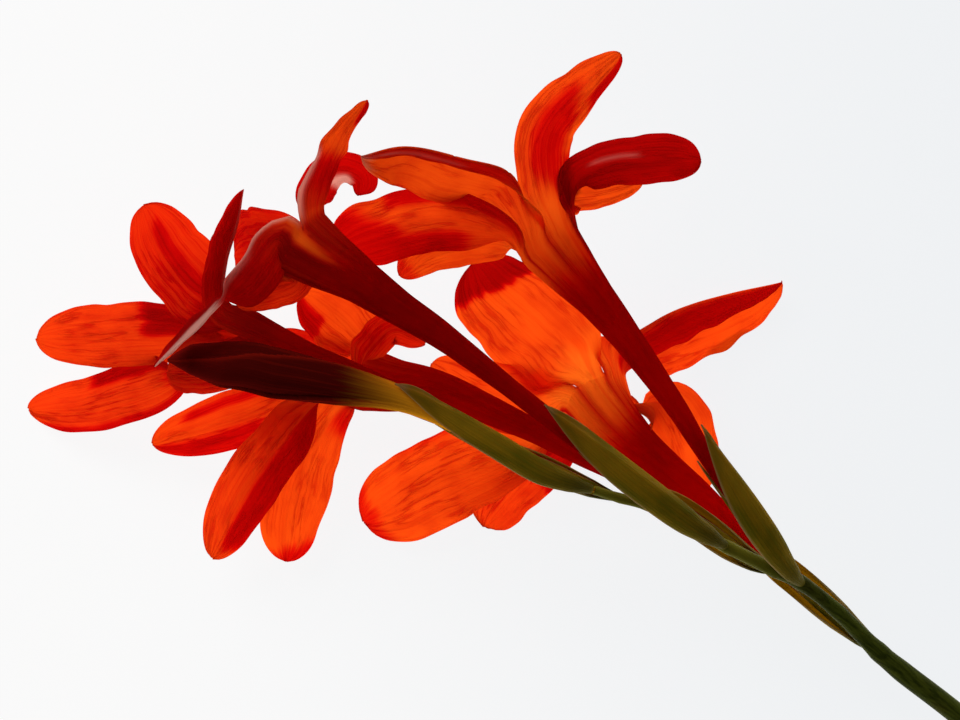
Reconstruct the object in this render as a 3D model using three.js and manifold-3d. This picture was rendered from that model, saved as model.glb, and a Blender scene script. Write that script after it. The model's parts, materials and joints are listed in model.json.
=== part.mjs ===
// A cut gladiolus spike lying on a table: a round stem, five open florets and a bud in two rows.
// Millimetres, +Z up from the table. X and Y are the axes of a picture taken from straight above.
import * as THREE from "three";
import { mergeVertices } from "three/addons/utils/BufferGeometryUtils.js";
import Module from "manifold-3d";

const wasm = await Module();
wasm.setup();

// Driving dimensions
const GAP = 0.32; // clearance between neighbouring pieces
const REST_CENTRE = [36.7, -35.4]; // middle of the spike's outline, in the picture's axes

// A floret's tube: outer radius by distance below its mouth, and by distance from its foot
const FUNNEL = [[0, 7], [7, 5.7], [15, 4.3], [26, 3.3], [40, 2.5], [55, 1.9]];
const FOOT = [[0, 0.8], [3.5, 1.15], [7, 1.55]];
const FOOT_LENGTH = 14; // where the foot has opened into the tube
const TUBE = {
  sides: 10,
  step: 8, // between the rings of the long middle stretch
  outerDepths: [26, 17, 10, 4.5, 0], // rings below the mouth, outside
  innerDepths: [0, 4.5, 10, 17, 21], // and down the cavity
  wall: 1,
  floorWall: 1.6,
};

const TEPAL = {
  thickness: 0.7,
  rows: 8,
  columns: 4,
  crowding: 1.3, // draws the rows toward the root
  rootDepth: 5, // down the funnel's wall, where the root starts
  stagger: 0.12, // of the two whorls within the wall
  tipHalf: 0.6,
  broad: 0.62, // share of the length at the widest place
  rise: 0.85, // how late the width grows toward it
  blunt: 2.4, // roundness of the tip: higher is squarer
  flatBend: 0.03, // curvature across the blade, in 1/mm
  flattens: [0, 0.45], // shares of the length between which the root's roundness opens out,
  turns: [0.12, 0.52], // the blade turns to its own facing, unless it says otherwise,
  folds: [0.12, 0.47], // it folds along the midrib,
  rolls: [0, 0.67], // it rolls back
  ruffles: [0.25, 0.875], // and its edges ruffle
  ruffle: { height: 0.5, waves: 11, shift: 1.7 },
};

const VALVE = {
  thickness: 0.6,
  start: 3.6, // along a floret's centre line, which starts inside the rachis
  rows: 8,
  columns: 5,
  inner: 0.22, // room under the inner valve, on top of the gap
  outer: 0.44, // and under both
  taper: 3.2, // how late the sheath narrows toward its tip
  tipSpread: 5,
};

const STAMEN = {
  reach: [1.6, 0.8, 1.2], // of each anther's tip in front of the mouth
  spread: [0.65, 1.9], // from the centre line, at the foot and at the tip
  // radius at each share of a stamen's length
  profile: [[0, 0.42], [0.25, 0.42], [0.5, 0.42], [0.74, 0.4], [0.8, 0.85], [1, 0.55]],
  sides: 5,
  pad: { radius: 1.2, height: 0.9, sides: 6, sunk: 0.3 }, // joins the stamens and the style at their feet
  style: [[14, 0.4], [8, 0.4], [3, 0.4], [0, 0.7], [-0.5, 0.7]], // radius by depth below the mouth
};

const RACHIS = [
  [176, -137.5, 2, 2.4],
  [142, -109, 5.2, 2.4],
  [105.6, -78.3, 13, 2.4],
  [93.5, -69, 15.9, 2.4],
  [88.4, -64.7, 17.3, 2],
  [79.2, -55.7, 20, 1.6],
  [71, -49.3, 23, 1.6],
  [64.9, -46.4, 25, 1.5],
  [54.8, -41.4, 28, 1.4],
  [46.2, -37, 30.5, 1.2],
  [37.4, -32.3, 33, 1.1],
  [30.8, -30.4, 35, 1.05],
  [25.1, -28.6, 36.8, 1],
]; // x, y, height and radius, from the cut end to the tip

const RACHIS_RINGS = 20;
const RACHIS_SIDES = 8;
const STEM_CUT = { at: [174, -136, 3], turn: -0.3 }; // the cut's place, and its slant in radians

const COLOURS = {
  petal: { color: 0xe0310f, roughness: 0.5, metalness: 0 },
  bud: { color: 0x6e0707, roughness: 0.45, metalness: 0 },
  anther: { color: 0xd9b48a, roughness: 0.7, metalness: 0 },
  stem: { color: 0x4a5a14, roughness: 0.5, metalness: 0 },
  bract: { color: 0x5c5a12, roughness: 0.55, metalness: 0 },
};

const FLORETS = [
  {
    name: "1",
    girth: 1.12,
    axis: [
      [89.5, -65.4, 17], [85.4, -62, 13.4], [79.6, -57, 13.2], [70.4, -49, 13.5],
      [60.9, -41.6, 14.6], [48.8, -30.1, 16.6], [36.3, -20.2, 19.7], [30.4, -15, 22.4],
      [27.5, -11.9, 22.4], [26, -9.7, 19.6],
    ],
    outer: { length: 36, toward: 180, spread: 120 },
    inner: { length: 32, toward: 0, spread: 60 },
    tepals: [
      {
        around: 15, half: [10.4, 12.5], fold: [4, 4],
        face: [0, 0.2, -1], blunt: 3.6, broad: 0.55, rise: 0.45,
        rib: [[14.3, 5.5, 20.5], [3.7, 15, 20], [-1.5, 21.6, 17]],
      },
      {
        around: 70, half: [6.5, 14], fold: [60, 60], face: [0, -1, 0], blunt: 1.8, broad: 0.5,
        rib: [[30.4, 1.8, 17], [37.4, 7.5, 11.4], [48.6, 12.3, 5.3], [67.5, 17.4, 3.6]],
      },
      {
        around: 165, half: [9.5, 9], fold: [4, 4], face: [0, 0, -1], broad: 0.5, rise: 0.4,
        rib: [[37.8, -9.8, 16.5], [44, -17.6, 12], [47.6, -31, 9.5]],
      },
      {
        around: -35, half: [8, 8], fold: [8, 8], face: [0, 0, -1], broad: 0.5, rise: 0.45,
        rib: [[11, -9.6, 19], [0, -7, 17], [-10.6, -0.6, 14]],
      },
      {
        around: -80, half: [10.5, 10.5], fold: [6, 6], face: [0, 0, -1], blunt: 3.4, broad: 0.66,
        rib: [[8.8, -19.8, 15.5], [-7.5, -26.2, 11], [-26, -36.2, 4]],
      },
      {
        around: -130, half: [8, 5.5], fold: [6, 6], face: [0, 0, -1], blunt: 4, broad: 0.7,
        rib: [[15.5, -22.4, 13], [8.4, -28.6, 7], [1, -37.4, 0.2]],
      },
    ],
  },
  {
    name: "2",
    girth: 1,
    axis: [
      [71.6, -49.8, 22.7], [68.6, -47, 28], [61.6, -37.8, 34.5], [55, -28.6, 39.5],
      [48.4, -19.1, 43], [43.1, -10.6, 45], [32.1, 4.8, 47], [26, 12.5, 47.5], [20.5, 18.9, 46.5],
      [16, 24.4, 44.5],
    ],
    outer: { length: 45, toward: 50, spread: 112 },
    inner: { length: 38, toward: -110, spread: 75 },
    tepals: [
      {
        around: 25, half: [6.8, 6.5], fold: [12, 20],
        face: [-0.3, 0.3, -1], blunt: 2, broad: 0.5, rise: 0.4,
        rib: [[14.1, 42, 50], [15.2, 50.5, 52], [22.6, 59, 51], [30.7, 67, 48]],
      },
      {
        around: -35, half: [2.8, 15], fold: [-105, 0],
        face: [0, 0.5, -0.85], blunt: 2, broad: 0.5, rise: 0.8,
        rib: [[7, 40.5, 51], [-4.4, 44.2, 56], [-16.5, 46.4, 61], [-25.6, 44.2, 64]],
      },
      {
        around: 95, half: [5.8, 5.8], fold: [8, 8], face: [0, 0.3, -1], blunt: 3.5, broad: 0.66, rise: 1.8,
        rib: [[21, 38.8, 46], [26.8, 42.2, 47], [36.5, 43.6, 48], [48.3, 43.5, 49]],
      },
      {
        around: -85, half: [8.7, 8], fold: [6, 6],
        face: [0, 0.4, -0.9], blunt: 3.2, broad: 0.74, rise: 0.9,
        rib: [[5.5, 27.2, 47], [-8.8, 29.8, 44], [-20.9, 27.6, 40], [-31.9, 23.9, 36]],
      },
      {
        around: 160, half: [4.8, 4.8], fold: [5, 5], face: [0, 0.3, -1], broad: 0.5, rise: 0.3,
        rib: [[18.2, 35.6, 42], [25.5, 37.2, 40], [35.6, 39.4, 39]],
      },
      {
        around: -140, half: [7, 4.2], fold: [6, 6], face: [0, 0, -1],
        rib: [[5.5, 25.4, 41], [-4.4, 24.8, 37], [-11, 22.8, 34], [-17.6, 18.4, 31]],
      },
    ],
  },
  {
    name: "3",
    girth: 1,
    axis: [
      [66, -46.9, 24.6], [62, -45.4, 21.2], [57.2, -42.6, 22.8], [49.5, -37, 25.8],
      [40.7, -31, 28.2], [33, -26.4, 28.6], [24.2, -22.2, 28.3], [8.8, -14.1, 28.4],
      [-9.9, -6.4, 28.1], [-18.7, -5.5, 27], [-24.6, -4.4, 25],
    ],
    outer: { length: 34, toward: 180, spread: 115 },
    inner: { length: 30, toward: 0, spread: 52 },
    tepals: [
      {
        around: 60, half: [8, 7], fold: [6, 6], face: [0, 0, -1],
        rib: [[-26, 3.3, 25], [-31.9, 9.2, 23], [-39.6, 15, 19]],
      },
      {
        around: 20, half: [4.5, 4.5], fold: [20, 20],
        rib: [[-22.9, 3.3, 32], [-18.7, 6.6, 33], [-12.1, 3.7, 29]],
      },
      {
        around: -60, half: [7.5, 7.5], fold: [5, 5], face: [0, 0, -1], blunt: 3.2, broad: 0.66,
        rib: [[-30.8, -9.9, 22], [-37, -18.7, 17], [-41.4, -30.8, 11], [-43.3, -45, 7]],
      },
      {
        around: -100, half: [6.5, 7.5], fold: [10, 10], face: [0, 0, -1], blunt: 2.6,
        rib: [[-35.2, -8.8, 25], [-45.1, -18.7, 22], [-53.5, -30.8, 18], [-59.6, -44, 13]],
      },
      {
        around: -150, half: [6.5, 7], fold: [12, 12], face: [0, 0, -1], blunt: 2.2,
        rib: [[-35.2, -5.5, 22], [-48.4, -10.6, 18], [-60.5, -14.7, 13], [-73, -18.7, 9]],
      },
      {
        around: 150, half: [6, 6], fold: [5, 5],
        rib: [[-31, 0, 18], [-40, 2, 12], [-50, 3, 6]],
      },
    ],
  },
  {
    name: "4",
    girth: 1.15,
    axis: [
      [54.8, -41.4, 28], [50.6, -38.9, 32.6], [45.4, -35.6, 36], [37.4, -29.7, 39.5],
      [26.4, -21.4, 43], [12.1, -10.4, 46.5], [-8.8, 5.7, 50], [-17.6, 11.4, 51.2],
      [-28, 18.5, 52], [-34.5, 22.5, 52], [-38.5, 25.3, 51],
    ],
    outer: { length: 52, toward: 30, spread: 104 },
    inner: { length: 40, toward: -140, spread: 70 },
    tepals: [
      {
        around: 60, half: [6, 4], fold: [10, 10],
        face: [-0.72, 0.42, -0.55], blunt: 1.7, broad: 0.6, rise: 1.2,
        rib: [[-34.3, 38.5, 55], [-30.4, 48, 56], [-24.6, 56.6, 55]],
      },
      {
        around: 120, half: [2.2, 4.7], fold: [4, 4], face: [0, 0, -1], blunt: 2, broad: 0.8, rise: 2.2,
        rib: [[-36, 34.6, 47], [-33.8, 39.4, 47], [-29.8, 41, 47], [-26.4, 39.2, 46.5], [-26.4, 36, 46]],
      },
      {
        around: -30, half: [3.2, 7], fold: [5, 5],
        face: [-0.65, 0.7, 0.2], turns: [0.46, 0.6], blunt: 1.5, broad: 0.38,
        rib: [[-43.6, 26.2, 56], [-51, 18, 58], [-60.5, 8.4, 60], [-70.6, -1.5, 60]],
      },
      {
        around: -80, half: [5, 4.5], fold: [5, 5], face: [0, 0.3, -1],
        rib: [[-40.7, 17.2, 47], [-47, 14.8, 45], [-53.5, 12.6, 44]],
      },
      {
        around: -130, half: [10, 10], fold: [6, 6], face: [-0.8, 0, 0.6], blunt: 3.2,
        rib: [[-42.9, 24.2, 42], [-48.8, 23.8, 32], [-54.3, 22.9, 24]],
      },
      {
        around: 170, half: [6, 6], fold: [5, 5],
        rib: [[-41, 25, 40], [-44, 25, 28], [-46, 23, 18]],
      },
    ],
  },
  {
    name: "5",
    girth: 1,
    axis: [
      [30.6, -30.4, 35], [26, -28.8, 32.5], [20, -26.3, 33.6], [13.2, -23.1, 34.8],
      [6.6, -19.8, 36], [-1.5, -15.4, 36.6], [-16.5, -8.8, 37.2], [-27.7, -4, 37.2],
      [-37.4, -0.8, 37], [-46.2, 2.2, 36], [-51.3, 4, 34.5],
    ],
    outer: { length: 30, toward: 205, spread: 92 },
    inner: { length: 26, toward: 0, spread: 50 },
    tepals: [
      {
        around: 60, half: [5, 5], fold: [58, 58], face: [-1, 0, 0], blunt: 1.7, broad: 0.5,
        rib: [[-55.9, 13.2, 38], [-55.7, 21.6, 40], [-53.5, 29.5, 41], [-51.8, 37.4, 41]],
      },
      {
        around: 110, half: [9.6, 7.4], fold: [8, 8], face: [0, 0, -1], blunt: 2.8, broad: 0.48, rise: 0.35,
        rib: [[-61, 13.9, 35], [-69, 23.1, 35], [-74.3, 34, 32]],
      },
      {
        around: -50, half: [9.2, 4.6], fold: [5, 5], face: [0, 0, -1], broad: 0.5, rise: 0.5,
        rib: [[-55, -1.5, 37], [-62, -3, 35], [-69, -3, 32]],
      },
      {
        around: 170, half: [7.5, 7.5], fold: [6, 6], face: [0, 0, -1], blunt: 2.6,
        rib: [[-60.5, 5.5, 28.5], [-73, 5.9, 27], [-86, 5.3, 21], [-98.5, 5, 15]],
      },
      {
        around: -130, half: [6.5, 6.9], fold: [8, 8], face: [0, 0, -1], blunt: 2.4, broad: 0.55,
        rib: [[-60.5, -1.8, 29], [-73, -5.7, 22.5], [-87, -9.6, 12], [-101, -11, 0.2]],
      },
      {
        around: -170, half: [6, 6], fold: [5, 5],
        rib: [[-57, 4, 25], [-62, 6, 16], [-66, 6, 8]],
      },
    ],
  },
];

const BUD = {
  name: "6",
  axis: [
    [25.1, -28.6, 36.8], [20.8, -27.4, 40.5], [13.2, -24.6, 43.5], [2.2, -18.2, 45.3],
    [-8.8, -12.3, 46.4], [-17.2, -8.6, 47.6], [-31, -5.3, 49], [-39.6, -3.6, 50],
    [-45.1, -2.6, 50.6], [-50.6, -1.3, 51.2], [-56.3, -0.9, 51.8], [-63.1, 0, 52], [-68.1, 0, 52],
  ],
  outer: { length: 47.5, toward: 42, spread: 115 },
  inner: { length: 41, toward: -160, spread: 70 },
  radii: [
    [0, 0.3], [2, 1.6], [5, 3.3], [12, 4.8], [18, 5.2], [24, 5.4], [30, 5], [38, 4.4], [47, 3.2], [60, 2],
  ], // by distance below the tip
};

// Turns a point of the picture's axes into a point of the part's frame.
function at([x, y, z]) {
  return new THREE.Vector3(x - REST_CENTRE[0], y - REST_CENTRE[1], z);
}

const { clamp, degToRad, lerp, smoothstep } = THREE.MathUtils;

// Reads a list of [where, value] pairs, with straight lines between them.
function between(pairs, x) {
  if (x <= pairs[0][0]) return pairs[0][1];
  for (let i = 1; i < pairs.length; i++) {
    const [x0, y0] = pairs[i - 1];
    const [x1, y1] = pairs[i];
    if (x <= x1) return y0 + ((y1 - y0) * (x - x0)) / (x1 - x0);
  }
  return pairs[pairs.length - 1][1];
}

// Frames along a curve that turn no more than the curve does: point, along, up and side at each place.
function framesAlong(curve, places, up) {
  const frames = [];
  let last = null;
  for (const u of places) {
    const along = curve.getTangentAt(u);
    let normal = up.clone();
    if (last) {
      const turn = new THREE.Quaternion().setFromUnitVectors(last.along, along);
      normal = last.normal.clone().applyQuaternion(turn);
    }
    normal.addScaledVector(along, -normal.dot(along)).normalize();
    const side = new THREE.Vector3().crossVectors(along, normal);
    last = { point: curve.getPointAt(u), along, normal, side };
    frames.push(last);
  }
  return frames;
}

function evenly(count) {
  return Array.from({ length: count + 1 }, (_, i) => i / count);
}

// A closed skin over rings of points, with each end closed on its own middle.
function skinOver(rings) {
  const sides = rings[0].length;
  const positions = [];
  for (const ring of rings) for (const p of ring) positions.push(p.x, p.y, p.z);
  const ends = [rings[0], rings[rings.length - 1]];
  for (const ring of ends) {
    const middle = new THREE.Vector3();
    for (const p of ring) middle.addScaledVector(p, 1 / sides);
    positions.push(middle.x, middle.y, middle.z);
  }
  const index = [];
  const first = rings.length * sides;
  const lastRing = (rings.length - 1) * sides;
  for (let j = 0; j < sides; j++) {
    const k = (j + 1) % sides;
    for (let i = 0; i + 1 < rings.length; i++) {
      const [a, b, c, d] = [i * sides + j, i * sides + k, (i + 1) * sides + k, (i + 1) * sides + j];
      index.push(a, b, c, a, c, d);
    }
    index.push(first, k, j);
    index.push(first + 1, lastRing + j, lastRing + k);
  }
  return solidOf(positions, index);
}

// A closed sheet of even thickness over a grid of points, split into triangles alike on both faces.
function sheetOver(grid, thickness) {
  const rows = grid.length;
  const columns = grid[0].length;
  const normals = grid.map((row, i) =>
    row.map((p, j) => {
      const [before, after] = [Math.max(i - 1, 0), Math.min(i + 1, rows - 1)];
      const [left, right] = [Math.max(j - 1, 0), Math.min(j + 1, columns - 1)];
      const along = new THREE.Vector3().subVectors(grid[after][j], grid[before][j]);
      return new THREE.Vector3().subVectors(row[right], row[left]).cross(along).normalize();
    }),
  );
  const positions = [];
  for (const face of [0.5, -0.5])
    grid.forEach((row, i) =>
      row.forEach((p, j) => {
        const q = p.clone().addScaledVector(normals[i][j], face * thickness);
        positions.push(q.x, q.y, q.z);
      }),
    );
  const under = rows * columns;
  const index = [];
  for (let i = 0; i + 1 < rows; i++)
    for (let j = 0; j + 1 < columns; j++) {
      const [a, b] = [i * columns + j, i * columns + j + 1];
      const [d, c] = [a + columns, b + columns];
      index.push(a, b, c, a, c, d);
      index.push(under + a, under + c, under + b, under + a, under + d, under + c);
    }
  const rim = [];
  for (let j = 0; j + 1 < columns; j++) rim.push(j);
  for (let i = 0; i + 1 < rows; i++) rim.push(i * columns + columns - 1);
  for (let j = columns - 1; j > 0; j--) rim.push((rows - 1) * columns + j);
  for (let i = rows - 1; i > 0; i--) rim.push(i * columns);
  rim.forEach((a, i) => {
    const b = rim[(i + 1) % rim.length];
    index.push(a, under + b, b, a, under + a, under + b);
  });
  return solidOf(positions, index);
}

function solidOf(positions, index) {
  const geometry = new THREE.BufferGeometry()
    .setAttribute("position", new THREE.Float32BufferAttribute(positions, 3))
    .setIndex(index);
  const merged = mergeVertices(geometry, 1e-4);
  return new wasm.Manifold(
    new wasm.Mesh({
      numProp: 3,
      vertProperties: merged.attributes.position.array,
      triVerts: new Uint32Array(merged.index.array),
    }),
  );
}

// The piece with the most volume, for a cut that leaves scraps.
function largest(solid) {
  return solid.decompose().reduce((a, b) => (b.volume() > a.volume() ? b : a));
}

function meshOf(solid, name, material) {
  const { vertProperties, triVerts, numProp } = largest(solid).getMesh();
  const positions = new Float32Array((vertProperties.length / numProp) * 3);
  for (let i = 0; i < positions.length / 3; i++)
    positions.set(vertProperties.subarray(i * numProp, i * numProp + 3), i * 3);
  const geometry = new THREE.BufferGeometry()
    .setAttribute("position", new THREE.BufferAttribute(positions, 3))
    .setIndex(new THREE.BufferAttribute(triVerts, 1));
  geometry.computeVertexNormals();
  const mesh = new THREE.Mesh(geometry, new THREE.MeshStandardMaterial(COLOURS[material]));
  mesh.name = name;
  return mesh;
}

function ringOf(frame, radius, sides) {
  return Array.from({ length: sides }, (_, j) => {
    const angle = (2 * Math.PI * j) / sides;
    return frame.point
      .clone()
      .addScaledVector(frame.normal, radius * Math.cos(angle))
      .addScaledVector(frame.side, radius * Math.sin(angle));
  });
}

const UP = new THREE.Vector3(0, 0, 1);

function curveThrough(points) {
  const curve = new THREE.CatmullRomCurve3(points, false, "centripetal");
  curve.arcLengthDivisions = 400;
  return curve;
}

// A floret's centre line with what is measured along it.
function spineOf(floret) {
  const curve = curveThrough(floret.axis.map(at));
  return { curve, length: curve.getLength(), girth: floret.girth ?? 1, radii: floret.radii ?? FUNNEL };
}

function frameAt(spine, distance) {
  const steps = 40;
  const share = clamp(distance / spine.length, 0, 1);
  const places = Array.from({ length: steps + 1 }, (_, i) => (share * i) / steps);
  return framesAlong(spine.curve, share > 0 ? places : [0], UP).pop();
}

// Outer radius of a floret's tube, or of the bud, at a distance from its foot.
function tubeRadius(spine, distance) {
  const girth = lerp(1, spine.girth, smoothstep(distance, 0, spine.length));
  const tube = girth * between(spine.radii, spine.length - distance);
  const [footTop] = FOOT[FOOT.length - 1];
  return lerp(between(FOOT, distance), tube, clamp((distance - footTop) / (FOOT_LENGTH - footTop), 0, 1));
}

// Distances from the foot at which a tube has a ring: close at both ends, a step apart between them.
function stationsOf(spine, fromTop) {
  const high = fromTop.map((d) => spine.length - d);
  const stretch = high[0] - FOOT_LENGTH;
  const steps = Math.ceil(stretch / TUBE.step);
  const middle = Array.from({ length: steps - 1 }, (_, i) => FOOT_LENGTH + ((i + 1) * stretch) / steps);
  return [...FOOT.map(([distance]) => distance), FOOT_LENGTH, ...middle, ...high];
}

function tubeRing(spine, distance, wall) {
  return ringOf(frameAt(spine, distance), tubeRadius(spine, distance) - wall, TUBE.sides);
}

function tubeOf(spine) {
  const outside = stationsOf(spine, TUBE.outerDepths).map((d) => tubeRing(spine, d, 0));
  const inside = TUBE.innerDepths.map((depth, i) => {
    const floor = i === TUBE.innerDepths.length - 1;
    return tubeRing(spine, spine.length - depth, floor ? TUBE.floorWall : TUBE.wall);
  });
  return skinOver([...outside, ...inside]);
}

// Half the width of a tepal at a share of its length: a claw, a broad blade and a rounded tip.
function halfWidth(share, widest, claw, { broad = TEPAL.broad, blunt = TEPAL.blunt, rise = TEPAL.rise }) {
  if (share < broad) return lerp(claw, widest, smoothstep(Math.pow(share / broad, rise), 0, 1));
  const rest = (share - broad) / (1 - broad);
  return Math.max(TEPAL.tipHalf, widest * Math.sqrt(1 - Math.pow(rest, blunt)));
}

function wallPoint(spine, around, depth, inset) {
  const f = frameAt(spine, spine.length - depth);
  const angle = degToRad(around);
  const out = f.normal.clone().multiplyScalar(Math.cos(angle)).addScaledVector(f.side, Math.sin(angle));
  const radius = tubeRadius(spine, spine.length - depth) - inset;
  return { point: f.point.clone().addScaledVector(out, radius), out, radius };
}

// A tepal grows from inside the funnel's wall, leaves it at the mouth and follows its midrib to the tip.
function tepalOf(spine, tepal, order, claws) {
  const inset = TUBE.wall / 2 + (order % 2 ? TEPAL.stagger : -TEPAL.stagger);
  const root = wallPoint(spine, tepal.around, TEPAL.rootDepth, inset);
  const lip = wallPoint(spine, tepal.around, 0, inset);
  const midrib = curveThrough([root.point, lip.point, ...tepal.rib.map(at)]);
  const places = evenly(TEPAL.rows).map((t) => 1 - Math.pow(1 - t, TEPAL.crowding));
  const frames = framesAlong(midrib, places, root.out.clone().negate());
  const row = { tepal, order, rootRadius: root.radius, claws: claws.map((angle) => lip.radius * angle) };
  const grid = frames.map((frame, i) => tepalRow(row, frame, places[i]));
  return sheetOver(grid, TEPAL.thickness);
}

// One row of points across a tepal, folded along the midrib and bent into a shallow arc on each flank.
function tepalRow({ tepal, order, rootRadius, claws }, frame, share) {
  const inward = facingOf(tepal, frame, share);
  const side = new THREE.Vector3().crossVectors(frame.along, inward);
  const bend = lerp(1 / rootRadius, TEPAL.flatBend, smoothstep(share, ...TEPAL.flattens));
  const { height, waves, shift } = TEPAL.ruffle;
  return Array.from({ length: TEPAL.columns + 1 }, (_, j) => {
    const across = (2 * j) / TEPAL.columns - 1;
    const flank = across < 0 ? 0 : 1;
    const half = halfWidth(share, tepal.half[flank], claws[flank], tepal);
    const reach = Math.abs(across) * half;
    const crease = degToRad(tepal.fold[flank]) * smoothstep(share, ...TEPAL.folds);
    const sideways = (Math.sin(crease + bend * reach) - Math.sin(crease)) / bend;
    const lift = (Math.cos(crease) - Math.cos(crease + bend * reach)) / bend;
    const wave = height * across * across * Math.sin(share * waves + order * shift + across);
    return frame.point
      .clone()
      .addScaledVector(side, Math.sign(across) * sideways)
      .addScaledVector(inward, lift + wave * smoothstep(share, ...TEPAL.ruffles));
  });
}

// The way a tepal's inner face looks: toward the funnel's middle at the root, its own way farther out.
function facingOf(tepal, frame, share) {
  const inward = frame.normal.clone();
  if (tepal.face) {
    const face = new THREE.Vector3(...tepal.face);
    face.addScaledVector(frame.along, -face.dot(frame.along)).normalize();
    inward.lerp(face, smoothstep(share, ...(tepal.turns ?? TEPAL.turns))).normalize();
  }
  const roll = degToRad(tepal.roll ?? 0) * smoothstep(share, ...TEPAL.rolls);
  return inward.applyAxisAngle(frame.along, roll);
}

// Half the angle, in radians, from a tepal to its neighbour on either side.
function clawsOf(tepals, order) {
  const from = tepals[order].around;
  const turns = tepals.filter((_, i) => i !== order).map(({ around }) => (around - from + 720) % 360);
  return [Math.min(...turns) / 2, (360 - Math.max(...turns)) / 2].map(degToRad);
}

function perianthOf(floret, spine) {
  const tepals = floret.tepals.map((t, i) => tepalOf(spine, t, i, clawsOf(floret.tepals, i)));
  return wasm.Manifold.union([tubeOf(spine), ...tepals]);
}

function budOf(bud, spine) {
  const belowTip = bud.radii.map(([depth]) => depth);
  const distances = stationsOf(spine, belowTip.reverse());
  return skinOver(distances.map((d) => tubeRing(spine, d, 0)));
}

// Three stamens and the style, joined at their feet on the floor of the funnel's cavity.
function stamensOf(spine) {
  const { pad, profile, reach, sides, spread, style } = STAMEN;
  const floor = TUBE.innerDepths[TUBE.innerDepths.length - 1] - GAP;
  const foot = floor - pad.sunk;
  const padRings = [floor, floor - pad.height].map((d) =>
    ringOf(pastTheMouth(spine, d), pad.radius, pad.sides),
  );
  const stamens = reach.map((tip, i) => {
    const angle = (2 * Math.PI * i) / reach.length;
    const rings = profile.map(([share, radius]) => {
      const frame = pastTheMouth(spine, lerp(foot, -tip, share));
      const off = lerp(...spread, share);
      frame.point
        .addScaledVector(frame.normal, off * Math.cos(angle))
        .addScaledVector(frame.side, off * Math.sin(angle));
      return ringOf(frame, radius, sides);
    });
    return skinOver(rings);
  });
  const styleRings = [[foot, style[0][1]], ...style].map(([d, radius]) =>
    ringOf(pastTheMouth(spine, d), radius, sides),
  );
  return wasm.Manifold.union([skinOver(padRings), skinOver(styleRings), ...stamens]);
}

// A frame on the floret's centre line, carried straight on in front of the mouth.
function pastTheMouth(spine, depth) {
  const frame = frameAt(spine, spine.length - Math.max(depth, 0));
  const point = frame.point.clone().addScaledVector(frame.along, Math.max(-depth, 0));
  return { ...frame, point };
}

// A spathe valve: a sheath round the tube, open along one side and pointed at its tip.
function valveOf(spine, valve, inner) {
  const { columns, rows, start, taper, thickness, tipSpread } = VALVE;
  const layer = inner ? GAP + VALVE.inner + thickness / 2 : 2 * GAP + VALVE.outer + 1.5 * thickness;
  const grid = evenly(rows).map((share) => {
    const distance = start + share * valve.length;
    const frame = frameAt(spine, distance);
    const spread = valve.spread * (1 - Math.pow(share, taper)) + tipSpread;
    const facet = Math.cos(degToRad(spread / columns));
    const radius = (tubeRadius(spine, distance) + layer) / facet;
    return evenly(columns).map((place) => {
      const angle = degToRad(valve.toward + (2 * place - 1) * spread);
      return frame.point
        .clone()
        .addScaledVector(frame.normal, radius * Math.cos(angle))
        .addScaledVector(frame.side, radius * Math.sin(angle));
    });
  });
  return sheetOver(grid, thickness);
}

// The rachis and stem as one rod, thicker by `extra` where it is used to cut its neighbours clear.
function rachisRod(extra = 0) {
  const curve = curveThrough(RACHIS.map(at));
  const places = evenly(RACHIS_RINGS);
  const rings = framesAlong(curve, places, UP).map((frame, i) => {
    const end = i === 0 ? -1 : i === places.length - 1 ? 1 : 0;
    frame.point.addScaledVector(frame.along, end * extra);
    const along = curve.getUtoTmapping(places[i]) * (RACHIS.length - 1);
    return ringOf(frame, between(RACHIS.map((row, k) => [k, row[3]]), along) + extra, RACHIS_SIDES);
  });
  return skinOver(rings);
}

// A block below the table, which flattens what would reach through it.
function belowTable() {
  const block = new THREE.BoxGeometry(400, 300, 20);
  block.translate(0, 0, -10);
  return solidFrom(block);
}

// A block past the slanted cut at the stem's end.
function pastTheCut() {
  const block = new THREE.BoxGeometry(20, 30, 30);
  block.translate(10, 0, 0);
  block.rotateZ(STEM_CUT.turn);
  const { x, y, z } = at(STEM_CUT.at);
  block.translate(x, y, z);
  return solidFrom(block);
}

function solidFrom(geometry) {
  geometry.deleteAttribute("normal").deleteAttribute("uv");
  return solidOf(Array.from(geometry.attributes.position.array), Array.from(geometry.index.array));
}

const spike = new THREE.Group();
const table = belowTable();
const rachisClear = rachisRod(GAP);
function addPiece(solid, name, material) {
  spike.add(meshOf(solid.subtract(table), name, material));
}

addPiece(rachisRod().subtract(pastTheCut()), "stem", "stem");
for (const floret of [...FLORETS, BUD]) {
  const spine = spineOf(floret);
  if (floret.tepals) {
    addPiece(perianthOf(floret, spine).subtract(rachisClear), "perianth_" + floret.name, "petal");
    addPiece(stamensOf(spine), "stamens_" + floret.name, "anther");
  } else {
    addPiece(budOf(floret, spine).subtract(rachisClear), "bud_" + floret.name, "bud");
  }
  for (const kind of ["inner", "outer"]) {
    const valve = valveOf(spine, floret[kind], kind === "inner");
    addPiece(valve.subtract(rachisClear), kind + "_bract_" + floret.name, "bract");
  }
}

export default spike;
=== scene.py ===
"""A cut gladiolus spike on a pale table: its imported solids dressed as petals, sheaths and a stem.

Lengths in the classes are millimetres, on the axes of a picture taken from straight above, as in the
part's source. A mesh is turned into metres, in the part's own frame, when it is made.
"""

import json
import logging
import math
from dataclasses import dataclass, field
from enum import Enum
from typing import Any, Optional, Union

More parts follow.
